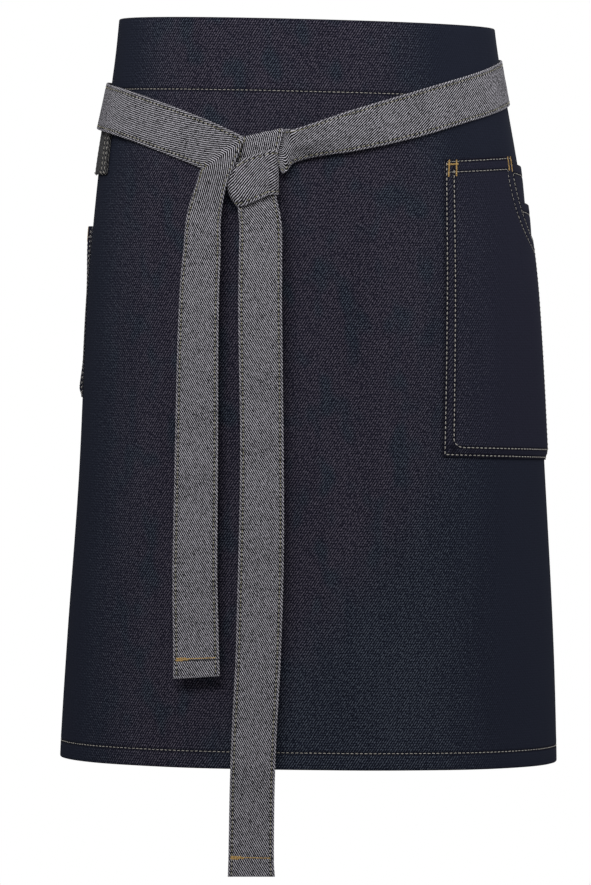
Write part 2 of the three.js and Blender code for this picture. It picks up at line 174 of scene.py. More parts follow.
@dataclass
class BodyForm:
    """The form that all the cloth lies on: a rounded section at each height, with a slow ripple in the cloth.

    A section is a superellipse: x and y are the sine and cosine of an angle, each raised to 2 over the power
    with its sign kept, times the half width and half depth. Places round it go by arc length.
    """

    power: float = 2.2
    steps: int = 2880
    ratio_low: float = 1.38
    ratio_high: float = 1.68
    ratio_steps: int = 48
    reach: float = 1.0 / 1440
    ripple_top: float = 0.15
    ripple_bottom: float = 1.3
    ripple_height: float = 600.0
    ripple_end: float = 1.1
    ripple_power: float = 1.5
    waves: tuple[tuple[float, float, float, float], ...] = (
        (0.5, 5.0, 0.004, 0.6), (0.3, 9.0, -0.007, 2.1), (0.2, 14.0, 0.012, 4.0))
    heights: Array = field(default_factory=lambda: np.array(
        [-680.0, -580.0, -480.0, -350.0, -200.0, -100.0, -50.0, 0.0, 40.0]))
    half_widths: Array = field(default_factory=lambda: np.array(
        [206.0, 204.0, 199.5, 191.5, 183.5, 172.5, 164.5, 156.5, 152.0]))
    half_depths: Array = field(default_factory=lambda: np.array(
        [127.0, 126.0, 124.0, 123.0, 121.0, 117.0, 113.0, 109.0, 105.5]))
    centres: Array = field(default_factory=lambda: np.array(
        [0.0, 0.0, 1.5, 3.0, 2.5, 0.5, 0.0, -1.0, -1.5]))

    def __post_init__(self) -> None:
        """Tabulates the section at even arc lengths, for a range of width to depth ratios."""
        angle = np.linspace(-np.pi, np.pi, self.steps + 1)
        x = np.sign(np.sin(angle)) * np.abs(np.sin(angle)) ** (2 / self.power)
        y = -np.sign(np.cos(angle)) * np.abs(np.cos(angle)) ** (2 / self.power)
        self.ratios = np.linspace(self.ratio_low, self.ratio_high, self.ratio_steps)
        pieces = np.hypot(self.ratios[:, None] * np.diff(x), np.diff(y))
        lengths = np.concatenate([np.zeros((self.ratio_steps, 1)), np.cumsum(pieces, axis=1)], axis=1)
        shares = np.linspace(0.0, 1.0, self.steps + 1)
        self.unit_girths = lengths[:, -1]
        self.table = np.stack([
            np.stack([np.interp(shares, row / row[-1], x), np.interp(shares, row / row[-1], y)], axis=-1)
            for row in lengths
        ])

    def _sizes(self, z: Array) -> Array:
        """Half width, half depth and middle of the section at each height: smooth curves through the rows."""
        rows = np.stack([self.half_widths, self.half_depths, self.centres], axis=-1)
        return cubic(self.heights, rows, chord_slopes(self.heights, rows), np.asarray(z, dtype=float))

    def _unit(self, share: Array, ratio: Array) -> Array:
        """Section point at a share of the way round from the back, by a straight mix in the table."""
        down = np.clip((ratio - self.ratio_low) / (self.ratio_high - self.ratio_low), 0.0, NEARLY_ONE)
        down = down * (self.ratio_steps - 1)
        right = np.mod(share, 1.0) * self.steps
        row, column = down.astype(int), np.minimum(right.astype(int), self.steps - 1)
        down, right = (down - row)[..., None], (right - column)[..., None]
        low = mix(self.table[row, column], self.table[row, column + 1], right)
        high = mix(self.table[row + 1, column], self.table[row + 1, column + 1], right)
        return mix(low, high, down)

    def ripple(self, turn: Array, z: Array) -> Array:
        """Slow waves in the cloth: sines of the turn and the height that grow towards the bottom edge.

        A wave has its share, its count round the form, its slant for each millimetre up and its phase.
        """
        angle = np.radians(turn)
        drop = np.clip(-z / self.ripple_height, 0.0, self.ripple_end)
        waves = sum(share * np.sin(count * angle + slant * z + phase)
                    for share, count, slant, phase in self.waves)
        return mix(self.ripple_top, self.ripple_bottom, drop**self.ripple_power) * waves

    def girth(self, z: Array) -> Array:
        """Length once round the section at each height."""
        sizes = self._sizes(z)
        return sizes[..., 1] * np.interp(sizes[..., 0] / sizes[..., 1], self.ratios, self.unit_girths)

    def place(self, turn: Array, z: Array, lift: Array) -> Array:
        """Points at a turn round the form and a height, lifted level and square to the section.

        Args:
            turn: Degrees round by arc length: 0 in front, 90 on the viewer's right, 180 at the back.
            z: Heights.
            lift: Distances out from the form.

        Returns:
            Points, with a last axis of three.
        """
        turn, z, lift = np.broadcast_arrays(*(np.asarray(v, dtype=float) for v in (turn, z, lift)))
        sizes = self._sizes(z)
        scale, ratio = sizes[..., :2], sizes[..., 0] / sizes[..., 1]
        share = turn / FULL_TURN + 0.5
        here = self._unit(share, ratio) * scale
        ahead, behind = self._unit(share + self.reach, ratio), self._unit(share - self.reach, ratio)
        along = unit((ahead - behind) * scale)
        rise = lift + self.ripple(turn, z)
        x = sizes[..., 2] + here[..., 0] + along[..., 1] * rise
        y = here[..., 1] - along[..., 0] * rise
        return np.stack([x, y, z], axis=-1)

    def lay(self, arc: Array, z: Array, lift: Array) -> Array:
        """Points at an arc length from the front middle and a height, lifted out from the form."""
        return self.place(arc / self.girth(z) * FULL_TURN, z, lift)


class Face(Enum):
    """The two faces of a cloth, by the mesh's material slot."""

    OUTER = 0
    INNER = 1


class Slot(Enum):
    """The record's material slots."""

    FACE = "denim_face"
    REVERSE = "denim_reverse"
    THREAD = "thread"


@dataclass
class ClothMesh:
    """A mesh of four-cornered faces in millimetres, with a place on the flat cloth at each corner."""

    points: Array
    faces: Array
    flat: Array
    slots: Array
    inset: Array
    seam: Array

    @staticmethod
    def _quads(grid: Array) -> Array:
        """The four corners of each cell of a grid, counter-clockwise."""
        cells = np.stack([grid[:-1, :-1], grid[1:, :-1], grid[1:, 1:], grid[:-1, 1:]], axis=2)
        return cells.reshape((-1, 4) + grid.shape[2:])

    @classmethod
    def from_sheets(cls, outer: Array, inner: Array, flat: Array, flat_inner: Array, inset: Array,
                    seam: Array) -> "ClothMesh":
        """A closed wall between two sheets on one grid that meet all round their border.

        Args:
            outer: Grid of points on the outer face.
            inner: Grid of points on the inner face.
            flat: Place of each grid point on the flat cloth, for the outer face.
            flat_inner: The same for the inner face.
            inset: Distance of each grid point from the cloth's nearest edge.
            seam: Distance of each grid point from the nearest row of stitches.

        Returns:
            The wall, with the border's points shared by both faces.
        """
        rows, columns = outer.shape[:2]
        front = np.arange(rows * columns).reshape(rows, columns)
        inside = np.zeros((rows, columns), dtype=bool)
        inside[1:-1, 1:-1] = True
        back = front.copy()
        back[inside] = rows * columns + np.arange(inside.sum())
        faces = np.concatenate([cls._quads(front), cls._quads(back)[:, ::-1]])
        corners = np.concatenate([cls._quads(flat), cls._quads(flat_inner)[:, ::-1]])
        slots = np.repeat([Face.OUTER.value, Face.INNER.value], len(faces) // 2)
        points = np.concatenate([outer.reshape(-1, 3), inner[inside]])
        far = [np.concatenate([values.ravel(), values[inside]]) for values in (inset, seam)]
        return cls(points, faces, corners, slots, *far)

    def _outward(self) -> Array:
        """The faces, turned round if they enclose a negative volume."""
        a, b, c, d = (self.points[self.faces[:, k]] for k in range(4))
        volume = np.einsum("ij,ij->", a, np.cross(b, c)) + np.einsum("ij,ij->", a, np.cross(c, d))
        return self.faces if volume > 0 else self.faces[:, ::-1]

    def put(self, name: str, materials: list[bpy.types.Material]) -> bpy.types.Object:
        """Makes the Blender object, riding on the frame.

        Args:
            name: The piece's name.
            materials: One for each slot, in order.

        Returns:
            The object, at the origin, with its place in its mesh.
        """
        faces = self._outward()
        flat = self.flat if faces is self.faces else self.flat[:, ::-1]
        mesh = bpy.data.meshes.new(name)
        mesh.from_pydata((self.points * MM).tolist(), [], faces.tolist())
        mesh.polygons.foreach_set("use_smooth", np.ones(len(faces), dtype=bool))
        mesh.polygons.foreach_set("material_index", self.slots.astype(np.int32))
        layer = mesh.uv_layers.new(name=CLOTH_MAP)
        layer.uv.foreach_set("vector", (flat * MM).astype(np.float32).ravel())
        for key, values in ((INSET, self.inset), (SEAM, self.seam)):
            layer = mesh.attributes.new(key, "FLOAT", "POINT")
            layer.data.foreach_set("value", (values * MM).astype(np.float32))
        for material in materials:
            mesh.materials.append(material)
        mesh.update()
        piece = bpy.data.objects.new(name, mesh)
        bpy.context.scene.collection.objects.link(piece)
        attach(piece, BODY)
        LOG.info("%s: %d faces", name, len(faces))
        return piece

    def dress(self, node: str, materials: list[bpy.types.Material], slot: Slot) -> bpy.types.Object:
        """Makes the cloth that stands for a node of the frame."""
        piece = self.put(f"{node}_cloth", materials)
        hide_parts(node)
        return piece


class Shade:
    """One number in a shader, whose arithmetic adds Math nodes."""

    def __init__(self, book: "NodeBook", socket: bpy.types.NodeSocket) -> None:
        """Wraps a socket of one material's nodes."""
        self.book = book
        self.socket = socket

    def _math(self, operation: str, *values: "Shade | float") -> "Shade":
        """A Math node on the values."""
        return self.book.value("ShaderNodeMath", {"operation": operation}, dict(enumerate(values)))

    def __add__(self, other: "Shade | float") -> "Shade":
        """Sum."""
        return self._math("ADD", self, other)

    def __sub__(self, other: "Shade | float") -> "Shade":
        """Difference."""
        return self._math("SUBTRACT", self, other)

    def __rsub__(self, other: float) -> "Shade":
        """Difference from a number."""
        return self._math("SUBTRACT", other, self)

    def __mul__(self, other: "Shade | float") -> "Shade":
        """Product."""
        return self._math("MULTIPLY", self, other)

    def __truediv__(self, other: "Shade | float") -> "Shade":
        """Quotient."""
        return self._math("DIVIDE", self, other)

    __radd__ = __add__
    __rmul__ = __mul__

    def sine(self) -> "Shade":
        """Sine of the value in radians."""
        return self._math("SINE", self)

    def smooth(self, low: float, high: float) -> "Shade":
        """Smooth step from 0 at low to 1 at high."""
        inputs = {"Value": self, "From Min": low, "From Max": high}
        return self.book.value("ShaderNodeMapRange", {"interpolation_type": "SMOOTHSTEP"}, inputs)

    def held(self) -> "Shade":
        """The value held between 0 and 1."""
        return self.book.value("ShaderNodeClamp", {}, {"Value": self})


class NodeBook:
    """The nodes of one material or world, made one at a time.

    A Mix node of colours takes its part and its two colours at the sockets of MIX_INPUTS.
    """

    MIX_INPUTS = (0, 6, 7)
    MIX_OUTPUT = 2
    SPECULAR = 0.06
    SHEEN_ROUGHNESS = 0.55

    def __init__(self, owner: "bpy.types.Material | bpy.types.World") -> None:
        """Starts the owner with an empty tree."""
        self.owner = owner
        owner.use_nodes = True
        self.tree = owner.node_tree
        self.tree.nodes.clear()

    def node(self, kind: str, settings: dict, inputs: dict) -> bpy.types.Node:
        """A node of any type.

        Args:
            kind: Blender's name of the node type.
            settings: Properties of the node, set first.
            inputs: Values or links for its sockets, by name or number.

        Returns:
            The node.
        """
        made = self.tree.nodes.new(kind)
        for name, value in settings.items():
            setattr(made, name, value)
        for key, value in inputs.items():
            socket = made.inputs[key]
            source = value.socket if isinstance(value, Shade) else value
            if isinstance(source, bpy.types.NodeSocket):
                self.tree.links.new(source, socket)
            else:
                socket.default_value = source
        return made

    def value(self, kind: str, settings: dict, inputs: dict, output: int | str = 0) -> Shade:
        """One output of a new node, as a value."""
        return Shade(self, self.node(kind, settings, inputs).outputs[output])

    def vector(self, x: "Shade | float", y: "Shade | float") -> bpy.types.NodeSocket:
        """A vector in the plane of two values."""
        return self.node("ShaderNodeCombineXYZ", {}, {0: x, 1: y}).outputs[0]

    def noise(self, x: "Shade | float", y: "Shade | float", detail: float = 1.0) -> Shade:
        """Noise in the plane of two values, with about one lump for each unit."""
        settings = {"noise_dimensions": "2D"}
        return self.value("ShaderNodeTexNoise", settings,
                          {"Vector": self.vector(x, y), "Scale": 1.0, "Detail": detail})

    def blend(self, part: "Shade | float", first: "Colour | bpy.types.NodeSocket",
              second: "Colour | bpy.types.NodeSocket") -> bpy.types.NodeSocket:
        """Mix of two colours by a part from 0 to 1."""
        ends = [(*end, 1.0) if isinstance(end, tuple) else end for end in (first, second)]
        made = self.node("ShaderNodeMix", {"data_type": "RGBA"}, dict(zip(self.MIX_INPUTS, (part, *ends))))
        return made.outputs[self.MIX_OUTPUT]

    def multiply(self, first: bpy.types.NodeSocket, second: bpy.types.NodeSocket) -> bpy.types.NodeSocket:
        """Product of two colours."""
        return self.node("ShaderNodeVectorMath", {"operation": "MULTIPLY"}, {0: first, 1: second}).outputs[0]

    def cloth(self) -> tuple[Shade, Shade]:
        """Place on the flat cloth in millimetres: along and up it."""
        place = self.node("ShaderNodeUVMap", {"uv_map": CLOTH_MAP}, {}).outputs[0]
        parts = self.node("ShaderNodeSeparateXYZ", {}, {0: place})
        return Shade(self, parts.outputs[0]) * (1 / MM), Shade(self, parts.outputs[1]) * (1 / MM)

    def distance(self, key: str) -> Shade:
        """Distance from the cloth's nearest edge or row of stitches in millimetres."""
        return self.value("ShaderNodeAttribute", {"attribute_name": key}, {}, "Fac") * (1 / MM)

    def finish(self, colour: bpy.types.NodeSocket, roughness: "Shade | float", height: Shade, depth: float,
               sheen: float) -> bpy.types.Material:
        """Ends the material in one cloth shader.

        Args:
            colour: Base colour.
            roughness: Roughness.
            height: Height from 0 to 1 for the bump.
            depth: What a height of 1 stands for, in millimetres.
            sheen: Weight of the fibres' sheen.

        Returns:
            The material.
        """
        bump = self.node("ShaderNodeBump", {}, {"Height": height, "Distance": depth * MM, "Strength": 1.0})
        shader = self.node("ShaderNodeBsdfPrincipled", {}, {
            "Base Color": colour, "Roughness": roughness, "Normal": bump.outputs[0],
            "Specular IOR Level": self.SPECULAR,
            "Sheen Weight": sheen, "Sheen Roughness": self.SHEEN_ROUGHNESS,
        })
        self.node("ShaderNodeOutputMaterial", {}, {0: shader.outputs[0]})
        return self.owner


@dataclass(frozen=True)
class Twill:
    """A twill cloth: diagonal ribs crossed by picks and broken by floats, over slow streaks and uneven dye.

    The level is a half plus a sine across the ribs, a sine up the picks and noise. On both sides of the
    front, nearest the front at the waist, it calms down to a flat level under a cooler cast: painted shade
    where the light falls off round the sides. Uneven dye casts the colour cooler in patches and toward the
    lower right. A streak has its width, its length, its detail and its share. Sizes and reaches on the cloth
    are in millimetres.
    """

    name: str
    dark: Colour
    middle: Colour
    light: Colour
    angle: float
    cast: Colour = (0.96, 0.965, 0.96)
    patches: Pair = (0.38, 0.62)
    pitch: float = 1.9
    pick: float = 2.0
    float_length: float = 3.2
    rib_share: float = 0.5
    pick_share: float = 0.0
    speckle: float = 0.9
    fleck: float = 0.4
    streak: float = 0.5
    bias: float = 0.0
    # Painted shade where the light falls off round the sides: its strength, reach, middle, widening toward
    # the waist and the reach of its cooler cast.
    side_shade: float = 0.0
    side_shade_reach: Pair = (82.0, 205.0)
    side_shade_middle: float = -26.0
    side_shade_flare: float = 0.35
    side_shade_rise: Pair = (-150.0, 0.0)
    side_cast_reach: float = 0.75
    cool_slant: float = 0.8
    cool_reach: Pair = (330.0, 430.0)
    # The flat level that the painted side shade calms the weave to.
    side_shade_level: float = 0.43
    depth: float = 0.16
    sheen: float = 0.0
    worn: float = 0.25
    edge_shade: float = 0.0
    edge_reach: Pair = (0.2, 1.7)
    seam_shade: float = 0.0
    seam_reach: Pair = (0.7, 1.9)
    notch: float = 0.0
    notch_reach: Pair = (0.1, 0.9)
    low_reach: Pair = (0.1, 0.6)
    high_reach: Pair = (0.5, 0.95)
    roughness: float = 0.95
    polish: float = 0.1
    fleck_size: Pair = (0.55, 1.7)
    dye_size: Pair = (21.0, 34.0)
    sway_size: float = 9.0
    sway: float = 0.9
    pick_sway: float = 2.0
    float_width: float = 0.62
    float_detail: float = 0.6
    streaks: tuple[tuple[float, float, float, float], ...] = ((1.1, 70.0, 2.0, 0.6), (26.0, 150.0, 1.0, 0.4))

    def build(self) -> bpy.types.Material:
        """The material: the level chooses between the three colours and stands as bump, and painted shade
        lies along the seams and the edges.

        Returns:
            The material.
        """
        book = NodeBook(bpy.data.materials.new(self.name))
        u, v = book.cloth()
        fleck = book.noise(u / self.fleck_size[0], v / self.fleck_size[1], 0.0)
        level = self._level(book, u, v, fleck)
        dye_and_side_shade = book.noise(u / self.dye_size[0], v / self.dye_size[1]).smooth(*self.patches)
        # Painted shade on both sides of the front: the weave calms to a flat level and the colour takes the
        # cooler cast.
        if self.side_shade:
            near, far = (reach * reach for reach in self.side_shade_reach)
            beside = (u - self.side_shade_middle) * (v.smooth(*self.side_shade_rise) * self.side_shade_flare + 1.0)
            side_shade = (beside * beside).smooth(near, far)
            level = level + (self.side_shade_level - level) * (side_shade * self.side_shade)
            cool = (u - v * self.cool_slant).smooth(*self.cool_reach)
            sides = (beside * beside).smooth(near, far * self.side_cast_reach)
            dye_and_side_shade = 1.0 - (1.0 - dye_and_side_shade) * (1.0 - cool) * (1.0 - sides)
        low = book.blend(level.smooth(*self.low_reach), self.dark, self.middle)
        colour = book.blend(level.smooth(*self.high_reach), low, self.light)
        # The cast tints the dye patches, the lower right and the painted side shade.
        colour = book.multiply(colour, book.blend(dye_and_side_shade, (1.0, 1.0, 1.0), self.cast))
        edge = 1.0 - book.distance(INSET).smooth(*self.edge_reach)
        colour = book.blend(edge * fleck * self.worn, colour, self.light)
        # Painted shade darkens the cloth along its edges.
        colour = book.blend(edge * self.edge_shade, colour, self.dark)
        # Painted shade in the grooves along the rows of stitches; with notches it lies in dark spots at the
        # stitches' pitch, the shade of the needle holes.
        painted_seam_shade = (1.0 - book.distance(SEAM).smooth(*self.seam_reach)) * self.seam_shade
        if self.notch:
            painted_seam_shade = painted_seam_shade * (u * (2 * math.pi / self.notch) + math.pi / 2).sine().smooth(*self.notch_reach)
        colour = book.blend(painted_seam_shade, colour, self.dark)
        roughness = (level * -self.polish + self.roughness).held()
        return book.finish(colour, roughness, level.held(), self.depth, self.sheen)

    def _level(self, book: NodeBook, u: Shade, v: Shade, fleck: Shade) -> Shade:
        """How light the cloth is, from 0 to 1, at a place on the flat cloth."""
        turn = math.radians(self.angle)
        across = u * math.sin(turn) - v * math.cos(turn)
        along = u * math.cos(turn) + v * math.sin(turn)
        sway = book.noise(u / self.sway_size, v / self.sway_size) * self.sway
        rib = (across * (2 * math.pi / self.pitch) + sway).sine()
        pick = (v * (2 * math.pi / self.pick) + sway * self.pick_sway).sine()
        lump = self.pitch * self.float_width
        floats = book.noise(across / lump, along / self.float_length, self.float_detail) - 0.5
        fine, broad = (book.noise(u / width, v / length, detail) * share
                       for width, length, detail, share in self.streaks)
        level = rib * self.rib_share + pick * self.pick_share + floats * self.speckle
        return level + (fleck - 0.5) * self.fleck + (fine + broad - 0.5) * self.streak + (0.5 + self.bias)


@dataclass(frozen=True)
class Thread:
    """A twisted sewing thread: two tones that wind round it."""

    name: str
    dark: Colour
    light: Colour
    turns: float = 4.0
    roughness: float = 0.7
    depth: float = 0.05

    def build(self) -> bpy.types.Material:
        """The material: a wave that winds round the stitch, from the stitch's own length and girth.

        Returns:
            The material.
        """
        book = NodeBook(bpy.data.materials.new(self.name))
        along, round_it = book.cloth()
        strand = ((along * self.turns + round_it) * (2 * math.pi)).sine() * 0.5 + 0.5
        colour = book.blend(strand, self.dark, self.light)
        return book.finish(colour, self.roughness, strand, self.depth, 0.0)


@dataclass
class ThreadWork:
    """Stitches sewn in one thread, gathered and made as one mesh of small spindles.

    A spindle has rings at shares of its length from the middle, each of a share of the thread's radius.
    """

    pitch: float = 3.7
    length: float = 2.8
    radius: float = 0.36
    rise: float = 0.12
    dip: float = 0.42
    sides: int = 6
    rings: tuple[float, ...] = (-0.5, -0.4, 0.0, 0.4, 0.5)
    ring_girths: tuple[float, ...] = (0.35, 0.85, 1.0, 0.85, 0.35)
    bar_width: float = 1.35
    bar_step: float = 0.6
    shake: float = 0.07
    seed: int = 7
    spots: list[Array] = field(default_factory=list)

    def sew(self, path: Array, above: Array, measure: Array | None = None) -> None:
        """Sews a row of stitches along a path.

        Args:
            path: Points along the row on the cloth.
            above: The same points a millimetre out from the cloth.
            measure: Length at each point that the stitches are spaced by, or None for the path's own.
        """
        if measure is None:
            measure = run_lengths(path)
        count = int(measure[-1] / self.pitch)
        middles = (np.arange(count) + 0.5) * self.pitch
        centre, over = follow(measure, path, middles), follow(measure, above, middles)
        reach = self.length / 2
        way = unit(follow(measure, path, middles + reach) - follow(measure, path, middles - reach))
        out = unit(over - centre)
        lengths = np.full((count, 1), self.length)
        self.spots.append(np.concatenate([centre, way, out, lengths], axis=1))

    def tack(self, path: Array, above: Array) -> None:
        """Sews a bar tack: close short stitches square to a path.

        Args:
            path: Points along the bar on the cloth.
            above: The same points a millimetre out from the cloth.
        """
        lengths, step = run_lengths(path), self.bar_step
        at = np.linspace(0.0, lengths[-1], max(2, int(lengths[-1] / step)))
        centre = follow(lengths, path, at)
        out = unit(follow(lengths, above, at) - centre)
        way = unit(follow(lengths, path, at + step / 2) - follow(lengths, path, at - step / 2))
        widths = np.full((len(at), 1), self.bar_width)
        self.spots.append(np.concatenate([centre, np.cross(out, way), out, widths], axis=1))

    def put(self, name: str, material: bpy.types.Material) -> bpy.types.Object:
        """Makes the stitches: each a spindle along its way, bowed down into the cloth at both ends.

        Args:
            name: The piece's name.
            material: The thread.

        Returns:
            The object.
        """
        spots = np.concatenate(self.spots)
        shake = np.random.default_rng(self.seed).uniform(-1.0, 1.0, (len(spots), 3))
        centre, way, out, length = spots[:, 0:3], spots[:, 3:6], spots[:, 6:9], spots[:, 9]
        side = unit(np.cross(out, way))
        way = unit(way + side * shake[:, :1] * self.shake)
        side = unit(np.cross(out, way))
        length = length * (1.0 + self.shake * shake[:, 1])
        stations = np.array(self.rings)
        fat = np.array(self.ring_girths) * self.radius
        angle = np.arange(self.sides) * (2 * np.pi / self.sides)
        run = (length[:, None] * stations)[:, :, None, None] * way[:, None, None, :]
        height = self.rise - self.dip * (2 * stations) ** 2
        up = (height[:, None] + fat[:, None] * np.cos(angle))[None, :, :, None] * out[:, None, None, :]
        over = (fat[:, None] * np.sin(angle))[None, :, :, None] * side[:, None, None, :]
        points = centre[:, None, None, :] + run + up + over
        count, rings = len(spots), len(stations)
        ring = np.arange(rings * self.sides).reshape(rings, self.sides)
        after = np.roll(ring, -1, axis=1)
        walls = np.stack([ring[:-1], after[:-1], after[1:], ring[1:]], axis=-1).reshape(-1, 4)
        shape = np.concatenate([walls, self._caps(ring)])
        faces = (np.arange(count)[:, None, None] * (rings * self.sides) + shape[None]).reshape(-1, 4)
        along = np.repeat(stations + 0.5, self.sides)
        round_it = np.tile(np.arange(self.sides) / self.sides, rings)
        flat = np.stack([along, round_it], axis=-1)[shape]
        flat = np.tile(flat[None], (count, 1, 1, 1)).reshape(-1, 4, 2)
        plain = np.zeros(count * rings * self.sides)
        mesh = ClothMesh(points.reshape(-1, 3), faces, flat, np.zeros(len(faces)), plain, plain)
        piece = mesh.put(name, [material])
        return piece

    def _caps(self, ring: Array) -> Array:
        """Four-cornered faces that close the first and the last ring of a six-sided spindle."""
        first, last = ring[0], ring[-1]
        start = [[first[3], first[2], first[1], first[0]], [first[0], first[5], first[4], first[3]]]
        end = [[last[0], last[1], last[2], last[3]], [last[3], last[4], last[5], last[0]]]
        return np.array(start + end)


def seamed(low: float, high: float, step: float, rim: float, seams: tuple[float, ...]) -> Array:
    """Places from low to high as graded gives them, and closer ones round each seam.

    Args:
        low: First place.
        high: Last place.
        step: Even spacing between the seams.
        rim: Radius of the round edge at each end.
        seams: Places of the seams.

    Returns:
        The places in rising order.
    """
    close = (np.array(seams)[:, None] + SEAM_STEPS).ravel()
    close = close[(close > low + rim) & (close < high - rim)]
    even = graded(low, high, step, rim)
    at_rim = (even <= low + rim) | (even >= high - rim)
    apart = np.abs(even[:, None] - np.array(seams)).min(axis=1)
    places = np.sort(np.concatenate([even[at_rim | (apart > SEAM_STEPS[-1] + SEAM_CLEAR)], close]))
    return places[np.concatenate([[True], np.diff(places) > SAME_PLACE])]


@dataclass
class ApronPanel:
    """The one sheet that wraps the front and sides, with a turned hem on all four edges.

    A place on it is an arc length from the front middle and a level. Levels tilt a little to the right.
    The outer face lies on the form, and the inner face stands in by one cloth for each layer of hem.
    """

    form: BodyForm
    width: float = 700.0
    top: float = 25.0
    bottom: float = -576.7
    cloth: float = 1.2
    waist_hem: float = 60.0
    bottom_hem: float = 15.5
    side_hem: float = 12.0
    seam_inset: float = 1.8
    most_layers: float = 3.0
    top_tilt: float = 0.026
    bottom_tilt: float = 0.011
    column_step: float = 3.0
    row_step: float = 6.0
    groove: float = 0.3
    groove_width: float = 1.3
    pucker: float = 0.16
    pucker_width: float = 5.0
    short_wave: float = 1.55
    slow_wave: float = 13.0
    slow_sway: float = 0.7
    long_wave: float = 2.9
    long_phase: float = 1.3
    row_overrun: float = 8.0
    across_points: int = 900
    up_points: int = 800
    cut_allowance: float = 12.0

    @property
    def hems(self) -> tuple[float, float, float]:
        """Depth of the hem at the top, the bottom and the sides."""
        return self.waist_hem, self.bottom_hem, self.side_hem

    def point(self, arc: Array, level: Array, lift: Array) -> Array:
        """Points of the sheet, lifted out from it."""
        tilt = mix(self.bottom_tilt, self.top_tilt, (level - self.bottom) / (self.top - self.bottom))
        z = level - tilt * self.form.lay(arc, level, 0.0)[..., 0]
        return self.form.lay(arc, z, lift)

    def _edges(self, arc: Array, level: Array) -> tuple[Array, Array, Array]:
        """Distance from the top, the bottom and the nearest side edge."""
        return self.top - level, level - self.bottom, self.width / 2 - np.abs(arc)

    def thickness(self, arc: Array, level: Array) -> Array:
        """Cloth by the number of layers: each hem adds one, which ends in a short lip."""
        layers = 1.0
        for distance, hem in zip(self._edges(arc, level), self.hems):
            layers = layers + on_hem(distance, hem)
        return self.cloth * np.minimum(layers, self.most_layers)

    def _from_rows(self, arc: Array, level: Array) -> list[Array]:
        """Signed distance from the row of stitches along each hem."""
        return [distance - hem + self.seam_inset for distance, hem in zip(self._edges(arc, level), self.hems)]

    def relief(self, arc: Array, level: Array) -> Array:
        """Fall of the outer face along the seams: a groove under each row, with gathers along it."""
        fall = 0.0
        for way, row in zip((arc, arc, level), self._from_rows(arc, level)):
            short = np.sin(way / self.short_wave + self.slow_sway * np.sin(way / self.slow_wave))
            gather = 0.5 * short + 0.5 * np.sin(way / self.long_wave + self.long_phase)
            groove = self.groove * bell(row, self.groove_width)
            fall = fall + groove + self.pucker * gather * bell(row, self.pucker_width)
        return fall

    def build(self, materials: list[bpy.types.Material]) -> bpy.types.Object:
        """Makes the sheet as a closed wall with round edges."""
        edge = self.width / 2
        side = (edge - self.side_hem, edge - self.side_hem + self.seam_inset)
        low, high = self.bottom + self.bottom_hem, self.top - self.waist_hem
        arcs = seamed(-edge, edge, self.column_step, self.cloth, (*side, -side[0], -side[1]))
        levels = seamed(self.bottom, self.top, self.row_step, self.cloth,
                        (low, low - self.seam_inset, high, high + self.seam_inset))
        arc, level = np.meshgrid(arcs, levels, indexing="ij")
        thickness = self.thickness(arc, level)
        inset = np.minimum.reduce(self._edges(arc, level))
        turned = rim_share(inset, self.cloth) * thickness / 2
        outer = self.point(arc, level, -self.relief(arc, level) * ease(inset / self.cloth) - turned)
        inner = self.point(arc, level, turned - thickness)
        flat = np.stack([arc, level], axis=-1)
        seam = np.abs(self._from_rows(arc, level)).min(axis=0)
        mesh = ClothMesh.from_sheets(outer, inner, flat, flat, inset, seam)
        return mesh.dress("apron_panel", materials, Slot.FACE)

    def stitch(self, material: bpy.types.Material) -> bpy.types.Object:
        """Sews the hems: a row along each, seen on both faces."""
        work = ThreadWork()
        edge = self.width / 2 - self.side_hem + self.seam_inset
        low = self.bottom + self.bottom_hem - self.seam_inset
        high = self.top - self.waist_hem + self.seam_inset
        across = np.linspace(-edge - self.row_overrun, edge + self.row_overrun, self.across_points)
        up = np.linspace(self.bottom + ROW_END, self.top - ROW_END, self.up_points)
        rows = [(across, np.full_like(across, low)), (across, np.full_like(across, high)),
                (np.full_like(up, -edge), up), (np.full_like(up, edge), up)]
        for arc, level in rows:
            lift = -self.relief(arc, level)
            work.sew(self.point(arc, level, lift), self.point(arc, level, lift + 1.0))
            lift = -self.thickness(arc, level)
            work.sew(self.point(arc, level, lift), self.point(arc, level, lift - 1.0))
        return work.put("apron_panel_stitches", material)

    def declare(self, piece: bpy.types.Object, stitches: bpy.types.Object, rests_on: list[str]) -> None:
        """Works out the sheet's cut width: its finished width with the side hems unfolded and a cut
        allowance.
        """
        wide = self.width + 2 * (self.side_hem + self.cut_allowance)


@dataclass(frozen=True)
class PocketLayer:
    """A layer behind the tool pocket's front: its name, top, left side, lift and how far its corner gapes."""

    name: str
    top: float
    left: float
    lift: float
    gape: float


